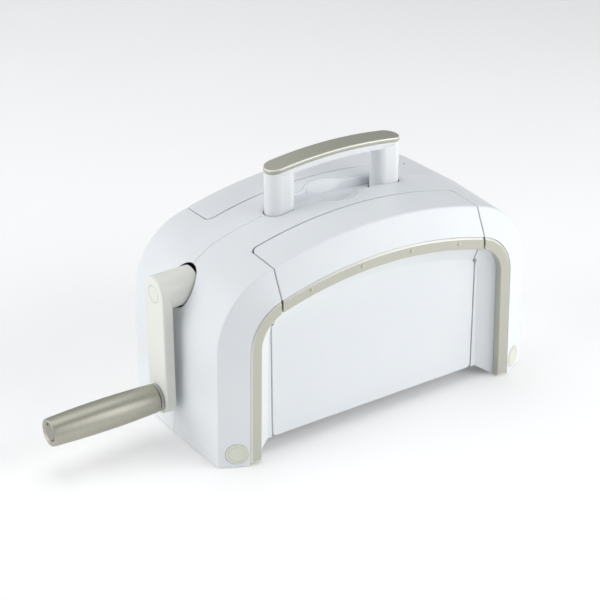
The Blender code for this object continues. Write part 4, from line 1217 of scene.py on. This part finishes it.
def grip_radius(share):
    """Barrel radius from the root (0) to the end (1)."""
    taper = GRIP_ROOT_RADIUS + (GRIP_END_RADIUS - GRIP_ROOT_RADIUS) * share
    swell = GRIP_RADIUS - (GRIP_ROOT_RADIUS + GRIP_END_RADIUS) / 2
    return taper + swell * math.sin(math.pi * share) ** 0.8


outline = [(GRIP_ROOT_X, SPINDLE_BORE, 0), (GRIP_ROOT_X, GRIP_ROOT_RADIUS, 1.6)]
outline += [(GRIP_ROOT_X + (GRIP_END_X - GRIP_ROOT_X) * share, grip_radius(share), 0)
            for share in [0.02 + 0.97 * step / 40 for step in range(41)]]
outline += [(GRIP_END_X, GRIP_END_RADIUS, 1.1), (GRIP_END_X, RIM_RADIUS, 0.3),
            (GRIP_END_X + 1.6, COUNTERBORE_RADIUS, 0.2),
            (GRIP_END_X + 7.0, COUNTERBORE_RADIUS, 0), (GRIP_END_X + 7.0, SPINDLE_BORE, 0)]
grip = turned(soften(outline, 5), (0, 0, GRIP_Z), segments=96)
fit(piece(grip, "turned_grip_barrel", nickel, 40.0), "grip", "satin_nickel", "grip_barrel")

disc = turned(soften([(GRIP_END_X + 3.0, 0, 0), (GRIP_END_X + 3.0, DISC_RADIUS, 0.1),
                      (GRIP_END_X + 0.9, DISC_RADIUS, 0.35), (GRIP_END_X + 0.9, 0, 0)]),
              (0, 0, GRIP_Z))
for turn in (1, -1):
    notch = (0, turn * DISC_RADIUS * 0.45, GRIP_Z + turn * DISC_RADIUS * 0.89)
    combine(disc, "DIFFERENCE", [drilled(1.5, notch, GRIP_END_X - 2, GRIP_END_X + 2.4)])
disc_nickel = finish_of("matt_nickel_disc", ((0.30, 0.30, 0.26), (0.35, 0.35, 0.31)),
                        (0.45, 0.58), (900.0,), metal=0.7)
fit(piece(disc, "grip_end_disc", disc_nickel), "grip", "satin_nickel", "grip_end_cap")

ring_plastic = moulded_plastic("grey_ring_plastic", (0.40, 0.41, 0.40), (0.45, 0.46, 0.45),
                               (0.35, 0.45))
collar = turned(soften([(ARM_OUTER_X - 0.3, SPINDLE_BORE, 0), (ARM_OUTER_X - 0.3, 13.4, 0.6),
                        (GRIP_ROOT_X + 0.3, 12.9, 0.5), (GRIP_ROOT_X + 0.3, SPINDLE_BORE, 0)]),
                (0, 0, GRIP_Z))
fit(piece(collar, "spacer_ring", ring_plastic), "crank", "warm_white", "grip_collar")

# ---------------------------------------------------------------- floor, light and camera
# A plain pale table top that glows faintly, under six soft studio boxes: two from the front
# right, two from the left, one overhead and one behind. The camera looks down at the front.
FLOOR_SIZE = 8.0
CAMERA_PLACE = Vector((-0.8230, -1.2991, 0.9345))
CAMERA_TURN = math.radians(33.204)
CAMERA_DIP = math.radians(28.283)
CAMERA_ROLL = math.radians(-0.287)
CAMERA_LENS = 111.69
AIM = Vector((0.03, 0.0, 0.11))
STUDIO_BOXES = (("key", (0.95, -1.25, 0.75), 1.3, 15.5),
                ("low_key", (1.45, -0.75, 0.4), 1.0, 4.2),
                ("fill", (-1.7, 0.35, 0.75), 1.4, 15.5),
                ("rear_fill", (-1.2, 1.2, 0.9), 1.2, 4.6),
                ("top", (0.1, 0.3, 2.0), 1.6, 12.2),
                ("back", (0.2, 1.6, 1.2), 1.4, 2.6))
SKY = (0.93, 0.96, 1.0)
SKY_STRENGTH = 0.23
TABLE_GLOW = 0.15

bm = bmesh.new()
bmesh.ops.create_grid(bm, x_segments=2, y_segments=2, size=FLOOR_SIZE / 2)
mesh = bpy.data.meshes.new("floor")
bm.to_mesh(mesh)
bm.free()
floor = bpy.data.objects.new("floor", mesh)
bpy.context.collection.objects.link(floor)
paper = finish_of("pale_table_top", ((0.92, 0.92, 0.92), (0.94, 0.94, 0.94)), (0.9, 0.9), (3.0,))
glow = paper.node_tree.nodes["Principled BSDF"].inputs
glow["Emission Color"].default_value = (1, 1, 1, 1)
glow["Emission Strength"].default_value = TABLE_GLOW
mesh.materials.append(paper)

for name, place, size, power in STUDIO_BOXES:
    light = bpy.data.lights.new(name + "_box", "AREA")
    light.shape = "SQUARE"
    light.size = size
    light.energy = power
    box = bpy.data.objects.new(name + "_box", light)
    box.location = place
    box.rotation_euler = (AIM - Vector(place)).to_track_quat("-Z", "Y").to_euler()
    bpy.context.collection.objects.link(box)

world = bpy.data.worlds.new("studio")
world.use_nodes = True
sky = world.node_tree.nodes["Background"].inputs
sky["Color"].default_value = (*SKY, 1)
sky["Strength"].default_value = SKY_STRENGTH
bpy.context.scene.world = world
bpy.context.scene.view_settings.view_transform = "Standard"

lens = bpy.data.cameras.new("camera")
lens.lens = CAMERA_LENS
lens.clip_end = 50.0
camera = bpy.data.objects.new("camera", lens)
camera.matrix_world = (Matrix.Translation(CAMERA_PLACE) @ Matrix.Rotation(-CAMERA_TURN, 4, "Z")
                       @ Matrix.Rotation(math.pi / 2 - CAMERA_DIP, 4, "X")
                       @ Matrix.Rotation(CAMERA_ROLL, 4, "Z"))
bpy.context.collection.objects.link(camera)
bpy.context.scene.camera = camera
